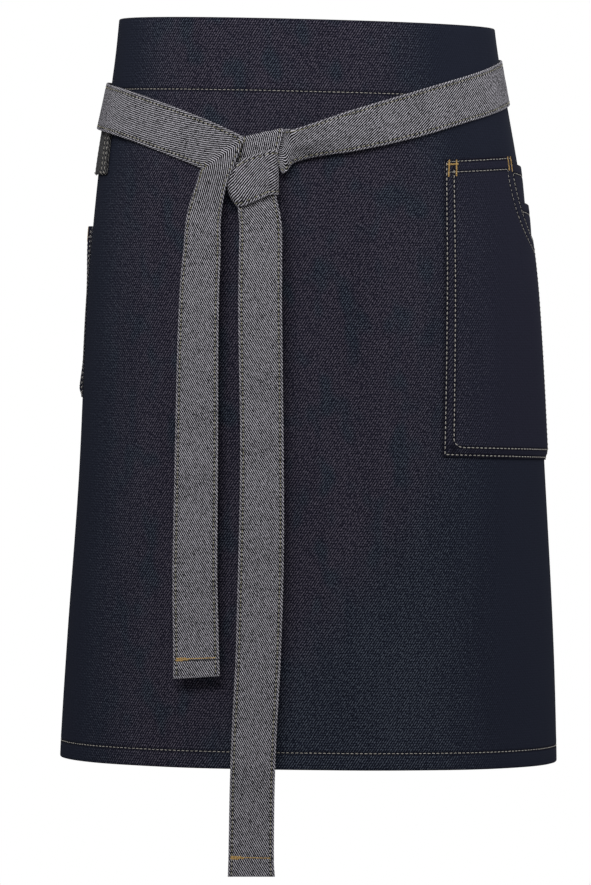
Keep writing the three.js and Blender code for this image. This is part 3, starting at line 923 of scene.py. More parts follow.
@dataclass
class ToolPocket:
    """The layered pocket on the viewer's right: two layers behind a front with a curved side mouth.

    Across runs from 0 at the left side to 1 at the right, between two slanted lines. The mouth is a quarter
    ellipse from the top edge to the right side. A bar tack is given by its two ends: across from the left
    side or from the mouth's start, and down from the top.
    """

    form: BodyForm
    top: float = -87.5
    bottom: float = -326.0
    left_top: float = 112.4
    left_bottom: float = 106.4
    right_top: float = 230.0
    right_bottom: float = 249.0
    mouth_start: float = 193.0
    mouth_end: float = 239.0
    mouth_depth: float = 67.0
    stand: float = 2.7
    gape: float = 0.7
    cloth: float = 0.8
    seam_gap: float = 0.5
    seam_margin: float = 9.0
    hem: float = 12.0
    hem_share: float = 0.7
    layer_inset: float = 18.0
    layer_fall: float = 0.12
    layer_ease: float = 42.0
    rows_in: Pair = (1.8, 7.9)
    hem_row: float = 10.3
    corner: float = 7.0
    top_rise: float = 6.5
    bottom_fall: float = 5.5
    step: float = 3.0
    groove: float = 0.3
    rim_start: float = 0.985
    layer_row_start: float = 0.9
    place_digits: int = 5
    mouth_points: int = 400
    mouth_columns: int = 72
    curve_points: int = 90
    corner_points: int = 12
    layer_points: int = 120
    cut: Pair = (147.0, 262.0)
    left_bars: tuple[tuple[Pair, Pair], ...] = (
        ((4.0, 0.6), (3.4, 13.6)), ((10.3, 0.9), (10.0, 13.4)), ((2.4, 3.9), (11.6, 4.1)),
    )
    mouth_bars: tuple[tuple[Pair, Pair], ...] = (((-8.0, 0.8), (-7.4, 11.0)), ((-3.0, 0.8), (-2.4, 12.0)))
    layers: tuple[PocketLayer, ...] = (
        PocketLayer("tool_pocket_back", -92.4, 122.0, 0.3, 1.6),
        PocketLayer("tool_pocket_middle", -122.5, 176.0, 1.5, 2.0),
    )

    @property
    def span(self) -> float:
        """Width from the left side to the mouth's end."""
        return self.mouth_end - self.left_top

    @property
    def height(self) -> float:
        """Height of the left side."""
        return self.top - self.bottom

    @property
    def straight(self) -> float:
        """Where across the mouth starts."""
        return (self.mouth_start - self.left_top) / self.span

    def lay(self, across: Array, z: Array, lift: Array) -> Array:
        """Points at a place across and a height on the flat pocket, which is a little taller to the right."""
        rise = across * mix(self.top_rise, -self.bottom_fall, self._down(z))
        return self.form.lay(self.arc(across, z), z + rise, lift)

    def _down(self, z: Array) -> Array:
        """Share of the way down the left side."""
        return (z - self.top) / (self.bottom - self.top)

    def _mouth(self, count: int) -> Array:
        """Places across along the mouth, closest at its start."""
        return mix(self.straight, 1.0, 1.0 - np.cos(np.linspace(0.0, np.pi / 2, count)))

    def arc(self, across: Array, z: Array) -> Array:
        """Arc length from the front middle at a place across the pocket."""
        down = self._down(z)
        left = mix(self.left_top, self.left_bottom, down)
        return mix(left, mix(self.right_top, self.right_bottom, down), across)

    def brink(self, across: Array) -> Array:
        """Height of the upper edge: level to the mouth's start, then down a quarter ellipse."""
        part = np.clip((across - self.straight) / (1.0 - self.straight), 0.0, 1.0)
        return self.top - self.mouth_depth * np.sqrt(1.0 - (1.0 - part) ** 2)

    def front_lift(self, across: Array, z: Array) -> Array:
        """Lift of the front's inner face: sewn down at the left and bottom, and gaping at the mouth."""
        from_left = ease(across * self.span / self.seam_margin)
        from_bottom = ease((z - self.bottom) / self.seam_margin)
        down = (self.brink(across) - z) / (self.brink(across) - self.bottom)
        gape = self.gape * ease((across - self.straight / 2) * 2) * (1.0 - ease(down * 2))
        return mix(self.seam_gap, self.stand, from_left * from_bottom) + gape

    def _edges(self, across: Array, z: Array) -> tuple[Array, Array, Array, Array]:
        """Distance from the left, the bottom, the right and the upper edge with its mouth."""
        curve = self._mouth(self.mouth_points)
        beside, above = (across[..., None] - curve) * self.span, z[..., None] - self.brink(curve)
        reach = np.hypot(beside, above).min(axis=-1)
        upper = np.where(across < self.straight, np.minimum(reach, self.top - z), reach)
        return across * self.span, z - self.bottom, (1.0 - across) * self.span, upper

    def _from_rows(self, across: Array, z: Array) -> Array:
        """Distance from the nearest row of stitches on the front."""
        left, low, right, upper = self._edges(across, z)
        near, far = self.rows_in
        rows = (left - near, left - far, low - near, low - far,
                upper - near, upper - self.hem_row, right - near)
        return np.abs(rows).min(axis=0)

    def relief(self, across: Array, z: Array) -> Array:
        """Fall of the outer face along the rows of stitches."""
        return self.groove * bell(self._from_rows(across, z), SEAM_WIDTH)

    def on_front(self, across: Array, z: Array, rise: float) -> Array:
        """Points on the front's outer face, raised out from it."""
        return self.lay(across, z, self.front_lift(across, z) + self.cloth - self.relief(across, z) + rise)

    def build_front(self, materials: list[bpy.types.Material]) -> bpy.types.Object:
        """Makes the front layer, whose columns end on the mouth."""
        rim = self.cloth / 2
        seams = (*self.rows_in, self.span - self.rows_in[0])
        fine = seamed(0.0, self.span, self.step, rim, seams) / self.span
        parts = [fine[fine < self.straight], self._mouth(self.mouth_columns), fine[fine > self.rim_start]]
        columns = np.unique(np.concatenate(parts).round(self.place_digits))
        seams = (*self.rows_in, self.height - self.rows_in[0], self.height - self.hem_row)
        rows = seamed(0.0, self.height, self.step, rim, seams) / self.height
        across, row = np.meshgrid(columns, rows, indexing="ij")
        z = mix(self.bottom, self.brink(across), row)
        edges = self._edges(across, z)
        inset = np.minimum.reduce(edges)
        inset[[0, -1]] = 0.0
        inset[:, [0, -1]] = 0.0
        thickness = self.cloth * (1.0 + self.hem_share * on_hem(edges[3], self.hem))
        share = rim_share(inset, rim)
        lift = self.front_lift(across, z) + self.cloth
        fall = self.relief(across, z) * ease(inset / rim) + share * self.cloth / 2
        outer = self.lay(across, z, lift - fall)
        inner = self.lay(across, z, lift - thickness + share * (thickness - self.cloth / 2))
        flat = np.stack([self.arc(across, z), z], axis=-1)
        mesh = ClothMesh.from_sheets(outer, inner, flat, flat, inset, self._from_rows(across, z))
        return mesh.dress("tool_pocket_front", materials, Slot.FACE)

    def on_layer(self, layer: PocketLayer, across: Array, z: Array, rise: Array) -> Array:
        """Points on a layer, raised off its inner face: its free corner falls a little and gapes on top."""
        free = np.maximum(across - self.straight, 0.0)
        near_top = 1.0 - ease((layer.top - z) / self.layer_ease)
        gape = layer.gape * ease(free / (1.0 - self.straight)) * near_top
        fall = self.layer_fall * free * self.span * ease((z - self.bottom) / self.height)
        return self.lay(across, z - fall, layer.lift + gape + rise)

    def build_layer(self, layer: PocketLayer, materials: list[bpy.types.Material]) -> bpy.types.Object:
        """Makes a layer behind the front: a plain sheet with a hem along its top."""
        rim = self.cloth / 2
        full = self.right_top - self.left_top
        start = (layer.left - self.left_top) / full
        low = self.bottom + self.layer_inset
        columns = start + graded(0.0, self.right_top - layer.left, self.step, rim) / full
        rows = seamed(low, layer.top, self.step, rim, (layer.top - self.rows_in[1],))
        across, z = np.meshgrid(columns, rows, indexing="ij")
        inset = np.minimum.reduce([(across - start) * full, (1.0 - across) * full, layer.top - z, z - low])
        inset = np.maximum(inset, 0.0)
        share = rim_share(inset, rim) * self.cloth / 2
        seam = np.abs(layer.top - z - self.rows_in[1])
        outer = self.on_layer(layer, across, z, self.cloth - share - self.groove * bell(seam, SEAM_WIDTH))
        inner = self.on_layer(layer, across, z, share)
        flat = np.stack([self.arc(across, z), z], axis=-1)
        mesh = ClothMesh.from_sheets(outer, inner, flat, flat, inset, seam)
        return mesh.dress(layer.name, materials, Slot.FACE)

    def _brink_row(self, inset: float) -> Array:
        """A row inside the upper edge and the mouth, as distances from the left and up from the bottom."""
        angle = np.linspace(0.0, np.pi / 2, self.curve_points)
        wide, deep = self.mouth_end - self.mouth_start, self.mouth_depth
        start = self.mouth_start - self.left_top
        curve = np.stack([start + wide * (1.0 - np.cos(angle)), self.height - deep * np.sin(angle)], axis=-1)
        inwards = unit(np.stack([-deep * np.cos(angle), -wide * np.sin(angle)], axis=-1))
        curve = curve + inwards * inset
        top = np.array([[self.rows_in[0], self.height - inset], [start - inset, self.height - inset]])
        return np.concatenate([top, curve[curve[:, 1] < self.height - inset]])

    def _corner_row(self) -> Array:
        """The inner row down the left side and along the bottom, with a round corner."""
        inset = self.rows_in[1]
        angle = np.linspace(np.pi, 1.5 * np.pi, self.corner_points)
        middle = np.array([inset + self.corner, inset + self.corner])
        bend = middle + self.corner * np.stack([np.cos(angle), np.sin(angle)], axis=-1)
        return np.concatenate([[[inset, self.height - inset]], bend, [[self.span - self.rows_in[0], inset]]])

    def _side_row(self) -> Array:
        """The outer row down the left side, along the bottom and up the right side."""
        near = self.rows_in[0]
        right = self.span - near
        return np.array([[near, self.height - near], [near, near], [right, near],
                         [right, self.height - self.mouth_depth - near]])

    def _sew(self, work: ThreadWork, row: Array) -> None:
        """Sews a row on the front, given as distances from the left and up from the bottom."""
        lengths = run_lengths(row)
        place = follow(lengths, row, np.linspace(0.0, lengths[-1], int(lengths[-1])))
        across, z = place[:, 0] / self.span, self.bottom + place[:, 1]
        work.sew(self.on_front(across, z, 0.0), self.on_front(across, z, 1.0))

    def stitch(self, material: bpy.types.Material) -> bpy.types.Object:
        """Sews the front's double rows down its sides and along its bottom."""
        work = ThreadWork(pitch=4.0, length=2.7, radius=0.46)
        for row in (self._side_row(), self._corner_row()):
            self._sew(work, row)
        return work.put("tool_pocket_stitches", material)

    def stitch_brink(self, material: bpy.types.Material) -> bpy.types.Object:
        """Sews thin close rows along the upper edge, and along the layers' tops that show in the mouth."""
        work = ThreadWork(pitch=3.9, length=3.3, radius=0.34)
        for inset in (self.rows_in[0], self.hem_row):
            self._sew(work, self._brink_row(inset))
        for layer in self.layers:
            across = np.linspace(self.straight * self.layer_row_start, self.rim_start, self.layer_points)
            z = np.full_like(across, layer.top - self.rows_in[1])
            rise = self.cloth - self.groove
            work.sew(self.on_layer(layer, across, z, rise), self.on_layer(layer, across, z, rise + 1.0))
        return work.put("tool_pocket_mouth_stitches", material)

    def tack(self, material: bpy.types.Material) -> bpy.types.Object:
        """Sews the bar tacks at both ends of the top edge."""
        work = ThreadWork(rise=TACK_RISE)
        at_mouth = np.array(self.mouth_bars) + (self.mouth_start - self.left_top, 0.0)
        for start, end in np.concatenate([np.array(self.left_bars), at_mouth]):
            place = mix(start, end, np.linspace(0.0, 1.0, TACK_POINTS)[:, None])
            across, z = place[:, 0] / self.span, self.top - place[:, 1]
            work.tack(self.on_front(across, z, 0.0), self.on_front(across, z, 1.0))
        return work.put("tool_pocket_tacks", material)


@dataclass
class PatchPocket:
    """The plain pocket on the viewer's left side: a sheet sewn down at both sides and the bottom."""

    form: BodyForm
    top: float = -140.0
    bottom: float = -280.0
    front: float = -236.0
    back: float = -333.0
    stand: float = 0.3
    gape: float = 3.2
    gape_depth: float = 60.0
    sag: float = 2.2
    sag_depth: float = 34.0
    cloth: float = 0.8
    seam_gap: float = 0.3
    seam_margin: float = 9.0
    hem: float = 12.0
    hem_share: float = 0.6
    bar: Pair = (0.8, 12.5)
    cut: Pair = (115.0, 164.0)
    rows_in: Pair = (3.0, 9.4)
    step: float = 3.0
    groove: float = 0.3

    def _edges(self, arc: Array, z: Array) -> tuple[Array, Array, Array]:
        """Distance from the nearest side, the bottom and the top."""
        return np.minimum(arc - self.back, self.front - arc), z - self.bottom, self.top - z

    def lift(self, arc: Array, z: Array) -> Array:
        """Lift of the inner face: sewn down along three edges, gaping on top and sagging at the bottom."""
        side, low, high = self._edges(arc, z)
        inward = ease(side / self.seam_margin)
        sewn = ease(low / self.seam_margin)
        gape = self.gape * (1.0 - ease(high / self.gape_depth))
        sag = self.sag * sewn * (1.0 - ease(low / self.sag_depth))
        return mix(self.seam_gap, self.stand, inward * sewn) + (gape + sag) * inward

    def _from_rows(self, arc: Array, z: Array) -> Array:
        """Distance from the nearest row of stitches."""
        side, low, high = self._edges(arc, z)
        near, far = self.rows_in
        return np.abs((side - near, side - far, low - near, low - far, high - self.hem + near)).min(axis=0)

    def relief(self, arc: Array, z: Array) -> Array:
        """Fall of the outer face along the rows of stitches."""
        return self.groove * bell(self._from_rows(arc, z), SEAM_WIDTH)

    def on_face(self, arc: Array, z: Array, rise: float) -> Array:
        """Points on the outer face, raised out from it."""
        return self.form.lay(arc, z, self.lift(arc, z) + self.cloth - self.relief(arc, z) + rise)

    def build(self, materials: list[bpy.types.Material]) -> bpy.types.Object:
        """Makes the sheet as a closed wall with round edges and a hem along its top."""
        rim = self.cloth / 2
        near, far = self.rows_in
        seams = (self.back + near, self.back + far, self.front - near, self.front - far)
        levels = (self.bottom + near, self.bottom + far, self.top - self.hem, self.top - self.hem + near)
        arc, z = np.meshgrid(seamed(self.back, self.front, self.step, rim, seams),
                             seamed(self.bottom, self.top, self.step, rim, levels), indexing="ij")
        edges = self._edges(arc, z)
        inset = np.minimum.reduce(edges)
        share = rim_share(inset, rim) * self.cloth / 2
        hem = self.hem_share * self.cloth * on_hem(edges[2], self.hem) * ease(inset / rim)
        hem = hem * ease((edges[0] - self.seam_margin) / self.seam_margin)
        lift = self.lift(arc, z)
        outer = self.form.lay(arc, z, lift + self.cloth - self.relief(arc, z) * ease(inset / rim) - share)
        inner = self.form.lay(arc, z, lift + share - hem)
        flat = np.stack([arc, z], axis=-1)
        mesh = ClothMesh.from_sheets(outer, inner, flat, flat, inset, self._from_rows(arc, z))
        return mesh.dress("patch_pocket", materials, Slot.FACE)

    def stitch(self, material: bpy.types.Material) -> bpy.types.Object:
        """Sews the double rows round three edges and the row along the hem."""
        work = ThreadWork(pitch=4.0, length=2.7)
        high = self.top - ROW_END
        paths = [np.array([[self.back + row, high], [self.back + row, self.bottom + row],
                           [self.front - row, self.bottom + row], [self.front - row, high]])
                 for row in self.rows_in]
        level = self.top - self.hem + self.rows_in[0]
        paths.append(np.array([[self.back + ROW_END, level], [self.front - ROW_END, level]]))
        for path in paths:
            lengths = run_lengths(path)
            arc, z = follow(lengths, path, np.linspace(0.0, lengths[-1], int(lengths[-1]))).T
            work.sew(self.on_face(arc, z, 0.0), self.on_face(arc, z, 1.0))
        return work.put("patch_pocket_stitches", material)

    def tack(self, material: bpy.types.Material) -> bpy.types.Object:
        """Sews a bar tack at each end of the top edge."""
        work = ThreadWork(rise=TACK_RISE)
        z = self.top - np.linspace(*self.bar, TACK_POINTS)
        for arc in (self.back + self.rows_in[1], self.front - self.rows_in[1]):
            place = np.full(TACK_POINTS, arc)
            work.tack(self.on_face(place, z, 0.0), self.on_face(place, z, 1.0))
        return work.put("patch_pocket_tacks", material)


@dataclass(frozen=True)
class Stop:
    """A stop on a strip's route: its turn, height, lift and width, and the angle and lift of a fold there.

    A bow carries the middle past its edges, over the crease of a fold or else out from the form. A lean lifts
    one edge of the strip off the form and sinks the other by as much.
    """

    turn: float
    z: float
    lift: float
    width: float
    edge: float | None = None
    fold_to: float | None = None
    bow: float = 0.0
    lean: float = 0.0


@dataclass
class Stations:
    """Lines across a strip, a row each: middle, half the line across, way to the first face, bow and girth.

    They are in millimetres along the form, up, and out from it.
    """

    middle: Array
    across: Array
    out: Array
    bow: Array
    girth: Array

    def columns(self) -> tuple[Array, ...]:
        """All the arrays, in the order of the fields."""
        return self.middle, self.across, self.out, self.bow, self.girth

    @classmethod
    def joined(cls, parts: list["Stations"]) -> "Stations":
        """The parts in a row, without the doubled station where two parts meet."""
        cut = [parts[0].columns(), *([values[1:] for values in part.columns()] for part in parts[1:])]
        return cls(*(np.concatenate(column) for column in zip(*cut)))

    def only(self, row: int) -> "Stations":
        """One station by itself."""
        return Stations(*(values[row:row + 1] for values in self.columns()))

    def lengths(self) -> Array:
        """Length along the middle at each station."""
        return run_lengths(self.middle)

    def ends_rounded(self, rim: float) -> "Stations":
        """The same strip with stations that close up on both ends as a quarter circle."""
        lengths = self.lengths()
        near = rim * (1.0 - np.cos(np.linspace(0.0, np.pi / 2, RIM_STEPS + 1)))
        inner = lengths[(lengths > rim * END_CLEAR) & (lengths < lengths[-1] - rim * END_CLEAR)]
        at = np.concatenate([near, inner, lengths[-1] - near[::-1]])
        rows = [follow(lengths, values, at) for values in self.columns()[:-1]]
        return Stations(*rows, np.interp(at, lengths, self.girth))


@dataclass
class Strip:
    """A flat strip that runs round the form and folds over on itself, such as a tie or a loop.

    Between folds it is a smooth curve through the stops, and a fold is a half turn round a crease. A row sewn
    over the end of a cross row starts at a share of half the width and is shifted by a share of a step.
    """

    form: BodyForm
    name: str
    route: tuple[Stop, ...]
    width: float = 37.0
    thickness: float = 1.8
    seams: tuple[float, ...] = (-15.6, 15.6)
    ends: tuple[float, ...] = ()
    step: float = 1.7
    column_step: float = 2.0
    fold_steps: int = 14
    groove: float = 0.28
    gather: float = 1.5
    thread: float = 0.36
    pitch: float = 3.7
    stitch_share: float = 0.76
    lies_flat: float = 0.999
    pleats: float = 7.5
    pleat_phase: float = 0.8
    overs: tuple[Pair, ...] = ((0.3, 0.45), (0.42, -0.4), (0.55, 0.8))
    edge_clear: float = 0.6
    cross_points: int = 60

    def _girth(self, stop: Stop) -> float:
        """Length once round the form at a stop."""
        return float(self.form.girth(np.array(stop.z)))

    def _flat(self, stop: Stop) -> Array:
        """The stop's middle along the form, up and out."""
        return np.array([stop.turn * self._girth(stop) / FULL_TURN, stop.z, stop.lift])

    def _across(self, index: int, side: int) -> Array:
        """Half the line across at a stop: at its edge angle, or square to the way through it."""
        stop = self.route[index]
        lean = np.array([0.0, 0.0, stop.lean])
        if stop.edge is not None:
            angle = math.radians(stop.edge)
            return np.array([math.cos(angle), math.sin(angle), 0.0]) * stop.width / 2 + lean
        before = self._flat(self.route[max(index - 1, 0)])
        way = self._flat(self.route[min(index + 1, len(self.route) - 1)]) - before
        way = unit(way * np.array([1.0, 1.0, 0.0]))
        return np.array([-way[1], way[0], 0.0]) * side * stop.width / 2 + lean

    def _station(self, index: int, side: int) -> Stations:
        """The station at a plain stop."""
        stop = self.route[index]
        out = np.array([0.0, 0.0, float(side)])
        rows = (self._flat(stop), self._across(index, side), out, np.array([0.0, 0.0, stop.bow]))
        return Stations(*(row[None] for row in rows), np.array([self._girth(stop)]))

    def _run(self, keys: list[Stations], side: int) -> Stations:
        """Stations of a run between two folds or ends, smooth through its keys."""
        columns = zip(*(key.columns() for key in keys))
        points, halves, _, bows, girths = (np.concatenate(column) for column in columns)
        knots = run_lengths(points)
        at = np.linspace(0.0, knots[-1], max(2, round(knots[-1] / self.step)) + 1)
        middle = cubic(knots, points, chord_slopes(knots, points), at)
        middle[:, 2] = cubic(knots, points[:, 2], calm_slopes(knots, points[:, 2]), at)
        across = cubic(knots, halves, chord_slopes(knots, halves), at)
        bow = cubic(knots, bows, np.zeros_like(bows), at)
        out = np.tile([0.0, 0.0, float(side)], (len(at), 1))
        return Stations(middle, across, out, bow, np.interp(at, knots, girths))

    def _fold(self, index: int, side: int) -> Stations:
        """Stations of a fold: a half turn round the crease, from the stop's lift to the lift it folds to."""
        stop = self.route[index]
        here, across = self._flat(stop), self._across(index, side)
        way = here - self._flat(self.route[index - 1])
        outward = unit(np.array([across[1], -across[0], 0.0]))
        outward = outward if outward @ (way * np.array([1.0, 1.0, 0.0])) > 0 else -outward
        radius = (stop.fold_to - stop.lift) / 2
        angle = np.linspace(-np.pi / 2, np.pi / 2, self.fold_steps + 1)[:, None]
        up = np.array([0.0, 0.0, 1.0])
        radial = outward * np.cos(angle) + up * math.copysign(1.0, radius) * np.sin(angle)
        middle = here + up * radius + radial * abs(radius)
        out = radial * (-side * math.copysign(1.0, radius))
        count = len(angle)
        bow = np.tile(outward * stop.bow, (count, 1))
        return Stations(middle, np.tile(across, (count, 1)), out, bow, np.full(count, self._girth(stop)))

    def stations(self) -> Stations:
        """All stations of the route in order."""
        parts, keys, side = [], [], 1
        for index, stop in enumerate(self.route):
            if stop.fold_to is None:
                keys.append(self._station(index, side))
                continue
            fold = self._fold(index, side)
            parts += [self._run([*keys, fold.only(0)], side), fold]
            side = -side
            keys = [fold.only(self.fold_steps)]
        parts.append(self._run(keys, side))
        return Stations.joined(parts).ends_rounded(self.thickness / 2)

    def _from_rows(self, beside: Array, reach: Array) -> Array:
        """Distance from the nearest row of stitches, along the seams or across the ends."""
        rows = [np.abs(beside - seam)[None] + 0.0 * reach[:, None] for seam in self.seams]
        for end in self.ends:
            row = end if end > 0 else reach[-1] + end
            rows.append(np.abs(reach - row)[:, None] + 0.0 * beside[None])
        return np.min(rows, axis=0)

    def _unfolded(self, stations: Stations, reach: Array, beside: Array) -> tuple[Array, Array]:
        """Places on the flat strip, along it and beside its middle.

        A line across that slants or bows runs on along the strip. A line that is narrow shows only the middle
        of the weave, as a gathered strip does. A fold takes its slant and bow from the outer run beside it.
        """
        lies = np.abs(stations.out[:, 2]) > self.lies_flat
        lies[1:-1] = lies[1:-1] & lies[2:] & lies[:-2]
        index = np.arange(len(reach))
        before = np.maximum.accumulate(np.where(lies, index, 0))
        after = np.minimum.accumulate(np.where(lies, index, index[-1])[::-1])[::-1]
        seen = np.where(stations.middle[before, 2] > stations.middle[after, 2], before, after)
        way = unit(np.gradient(stations.middle, axis=0))
        slant, bow = ((values * way).sum(axis=1)[seen, None] for values in (stations.across, stations.bow))
        half = np.sqrt(np.maximum((stations.across[seen]**2).sum(axis=1, keepdims=True) - slant**2, 0.0))
        share = beside / (self.width / 2)
        return reach[:, None] + slant * share + bow * (1.0 - share**2), half * share

    def _face(self, stations: Stations, beside: Array, sign: int, raised: Array) -> Array:
        """Points of one face, at distances beside the flat strip's middle and raised off its middle sheet.

        Args:
            stations: The lines across.
            beside: Distance from the middle on the flat strip, one for each column.
            sign: 1 for the first face and -1 for the other.
            raised: Distance out from the middle sheet, for each station and column.

        Returns:
            Points, for each station and column.
        """
        share = beside / (self.width / 2)
        narrow = 1.0 - 2.0 * np.linalg.norm(stations.across, axis=1) / self.width
        wave = np.sin(share * self.pleats + self.pleat_phase)
        pleat = self.gather * np.clip(narrow, 0.0, 1.0)[:, None] * wave
        place = stations.middle[:, None] + stations.across[:, None] * share[:, None]
        place = place + stations.bow[:, None] * (1.0 - share**2)[:, None]
        place = place + stations.out[:, None] * (sign * raised + pleat)[..., None]
        turn = place[..., 0] / stations.girth[:, None] * FULL_TURN
        return self.form.place(turn, place[..., 1], place[..., 2])

    def build(self, materials: list[bpy.types.Material]) -> bpy.types.Object:
        """Makes the strip as a closed wall with round edges."""
        stations = self.stations()
        reach = stations.lengths()
        half, rim = self.width / 2, self.thickness / 2
        beside = seamed(-half, half, self.column_step, rim, self.seams)
        inset = np.minimum(half - np.abs(beside)[None], np.minimum(reach, reach[-1] - reach)[:, None])
        inset = np.maximum(inset, 0.0)
        seam = self._from_rows(beside, reach)
        groove = self.groove * bell(seam, SEAM_WIDTH) * ease(inset / rim)
        raised = rim * (1.0 - rim_share(inset, rim)) - groove
        first, second = (self._face(stations, beside, sign, raised) for sign in (1, -1))
        u, v = self._unfolded(stations, reach, beside)
        flat, flat_second = np.stack([u, v], axis=-1), np.stack([u, -v], axis=-1)
        mesh = ClothMesh.from_sheets(first, second, flat, flat_second, inset, seam)
        return mesh.dress(self.name, materials, Slot.REVERSE)

    def stitch(self, material: bpy.types.Material) -> bpy.types.Object:
        """Sews a row along each seam, seen on both faces."""
        work = ThreadWork(pitch=self.pitch, length=self.pitch * self.stitch_share, radius=self.thread)
        stations = self.stations()
        reach = stations.lengths()
        for seam in self.seams:
            beside = np.array([seam])
            raised = np.full((len(reach), 1), self.thickness / 2 - self.groove)
            for sign in (1, -1):
                path = self._face(stations, beside, sign, raised)[:, 0]
                above = self._face(stations, beside, sign, raised + 1.0)[:, 0]
                work.sew(path, above, reach)
        return work.put(f"{self.name}_stitches", material)

    def cross_stitch(self, material: bpy.types.Material, tacked: int) -> bpy.types.Object:
        """Sews a row across each end, seen on both faces, and sews back over it at one edge.

        Args:
            material: The thread.
            tacked: Which edge is sewn over: 1 or -1 for the two sides of the middle.

        Returns:
            The object.
        """
        work = ThreadWork(pitch=2.9, length=3.1, radius=0.45, rise=0.2)
        stations = self.stations()
        reach = stations.lengths()
        edge, bed = self.width / 2, self.thickness / 2 - self.groove
        for end in self.ends:
            row = int(np.abs(reach - (end if end > 0 else reach[-1] + end)).argmin())
            for start, shift in ((-self.seams[-1] / edge, 0.0), *self.overs):
                beside = tacked * np.linspace(start * edge, edge - self.edge_clear, self.cross_points)
                beds = [np.full_like(beside[None], rise) for rise in (bed, bed + 1.0)]
                for sign in (1, -1):
                    rows = [[self._face(stations.only(row + k), beside, sign, raised)[0] for k in (0, 1)]
                            for raised in beds]
                    work.sew(*(mix(near, far, shift) for near, far in rows))
        return work.put(f"{self.name}_cross_stitches", material)

    def declare(self, piece: bpy.types.Object, sewn: list[bpy.types.Object], rests_on: list[str]) -> None:
        """Logs the length along the finished strip's middle and works out its flat size from its width and
        that length.
        """
        length = float(self.stations().lengths()[-1])
        LOG.info("%s: %.0f mm long", self.name, length)
        size = (self.width * MM, length * MM)


TIE_LEFT = (
    Stop(-227, 2, 1.4, 37), Stop(-212, 2, 1.4, 37), Stop(-196, -7, 0, 37), Stop(-180, -18, -1.2, 37),
    Stop(-163, -33, -0.6, 37), Stop(-146, -41, 1.6, 37), Stop(-118, -42, 1.7, 37),
    Stop(-96, -40.5, 4.4, 37, lean=-0.6), Stop(-82, -43, 4.8, 37, lean=-1.6),
    Stop(-68, -47.8, 4.4, 37, lean=-0.8),
    Stop(-52.8, -57.8, 1.7, 37), Stop(-34.3, -74, 1.6, 37), Stop(-22, -88, 1.6, 37),
    Stop(-11.8, -98.3, 1.6, 36, 90, 14.4), Stop(-16.2, -102.6, 14.4, 35),
    Stop(-19.8, -107.6, 14.4, 35.5, 95.5, 4, 6.0), Stop(-18, -104, 4, 24),
    Stop(-14.2, -96, 4, 20, 69, 6.4), Stop(-16.1, -84, 6.4, 14),
    Stop(-14.0, -69.3, 6.4, 33, 12.7, 11), Stop(-15.5, -82, 11, 31), Stop(-16.2, -99, 11, 26),
    Stop(-15.4, -120, 11, 30.5), Stop(-14.4, -140, 11, 33), Stop(-14.4, -162, 11, 33.5),
    Stop(-14.5, -205, 11, 34),
    Stop(-13.9, -320, 10, 33.9), Stop(-13.7, -410, 10, 35.5), Stop(-13.9, -485, 9, 35.5),
    Stop(-14.6, -562, 8, 35.4), Stop(-15.0, -648, 7, 36), Stop(-14.95, -661.6, 7, 37.2),
)
TIE_RIGHT = (
    Stop(227, 3, 1.4, 37), Stop(212, 3, 1.4, 37), Stop(196, -1, 2.6, 37), Stop(180, -8, 2.8, 37),
    Stop(162, -14, 3.4, 37), Stop(147, -17, 3.9, 37), Stop(131, -19, 3.9, 37), Stop(116, -20, 2.4, 37),
    Stop(84, -24, 1.6, 36), Stop(54.9, -38.4, 1.6, 35), Stop(31.7, -53.6, 2.6, 35),
    Stop(13.4, -65.4, 4.4, 32, bow=1.4, lean=-0.9), Stop(1.8, -72.6, 6.4, 26.5, bow=3.0, lean=-3.4),
    Stop(-4.4, -77, 7.2, 27, 270, bow=3.0, lean=-4.4), Stop(-8.0, -81.5, 8.2, 35, 270),
    Stop(-10.2, -75.6, 8.8, 12, 270), Stop(-15.5, -77.8, 8.8, 11),
    Stop(-18.5, -80, 8.8, 12), Stop(-25.3, -84, 8.8, 37, 217, 16), Stop(-27.1, -94.6, 15.8, 27, 190),
    Stop(-28.7, -106, 13.5, 23.5, 170), Stop(-31, -133, 12, 27.5), Stop(-31.5, -159.4, 11, 30),
    Stop(-32.15, -200, 10.5, 32), Stop(-32.4, -300, 9.5, 34.5), Stop(-32.0, -410, 9, 36),
    Stop(-31, -470, 9, 36.6), Stop(-30.3, -502.4, 10.5, 37, 184.3),
)
SIDE_LOOP = (
    Stop(-82.6, -34, 0.85, 41), Stop(-80.3, -97, 0.85, 41, 0, 2.25), Stop(-82.6, -34, 2.25, 41),
)

DENIM_FACE = Twill("denim_face", dark=(0.0045, 0.0045, 0.0095), middle=(0.0205, 0.0186, 0.0325),
                   light=(0.096, 0.0865, 0.1145), angle=58.0, cast=(0.755, 0.99, 0.975), patches=(0.5, 0.75),
                   pitch=1.8, float_length=1.8, rib_share=0.37, pick_share=0.13, speckle=0.85, fleck=0.6,
                   streak=0.25, bias=-0.08, side_shade=0.83, depth=0.1, worn=0.0, edge_shade=0.75, seam_shade=0.75,
                   seam_reach=(0.8, 2.4))
# The pockets' denim: a lighter cast on its dye patches and on its painted side shade.
DENIM_POCKET = replace(DENIM_FACE, name="denim_pocket", cast=(0.92, 1.05, 1.05))
DENIM_INSIDE = Twill("denim_inside", dark=(0.02, 0.02, 0.024), middle=(0.07, 0.07, 0.078),
                     light=(0.3, 0.295, 0.32), angle=58.0, sheen=0.03)
TIE_CLOTH = Twill("tie_cloth", dark=(0.005, 0.005, 0.006), middle=(0.045, 0.0435, 0.05),
                  light=(0.6, 0.581, 0.64), angle=30.0, pitch=1.51, rib_share=1.0, speckle=0.8, bias=-0.45,
                  seam_shade=0.9, notch=3.7)
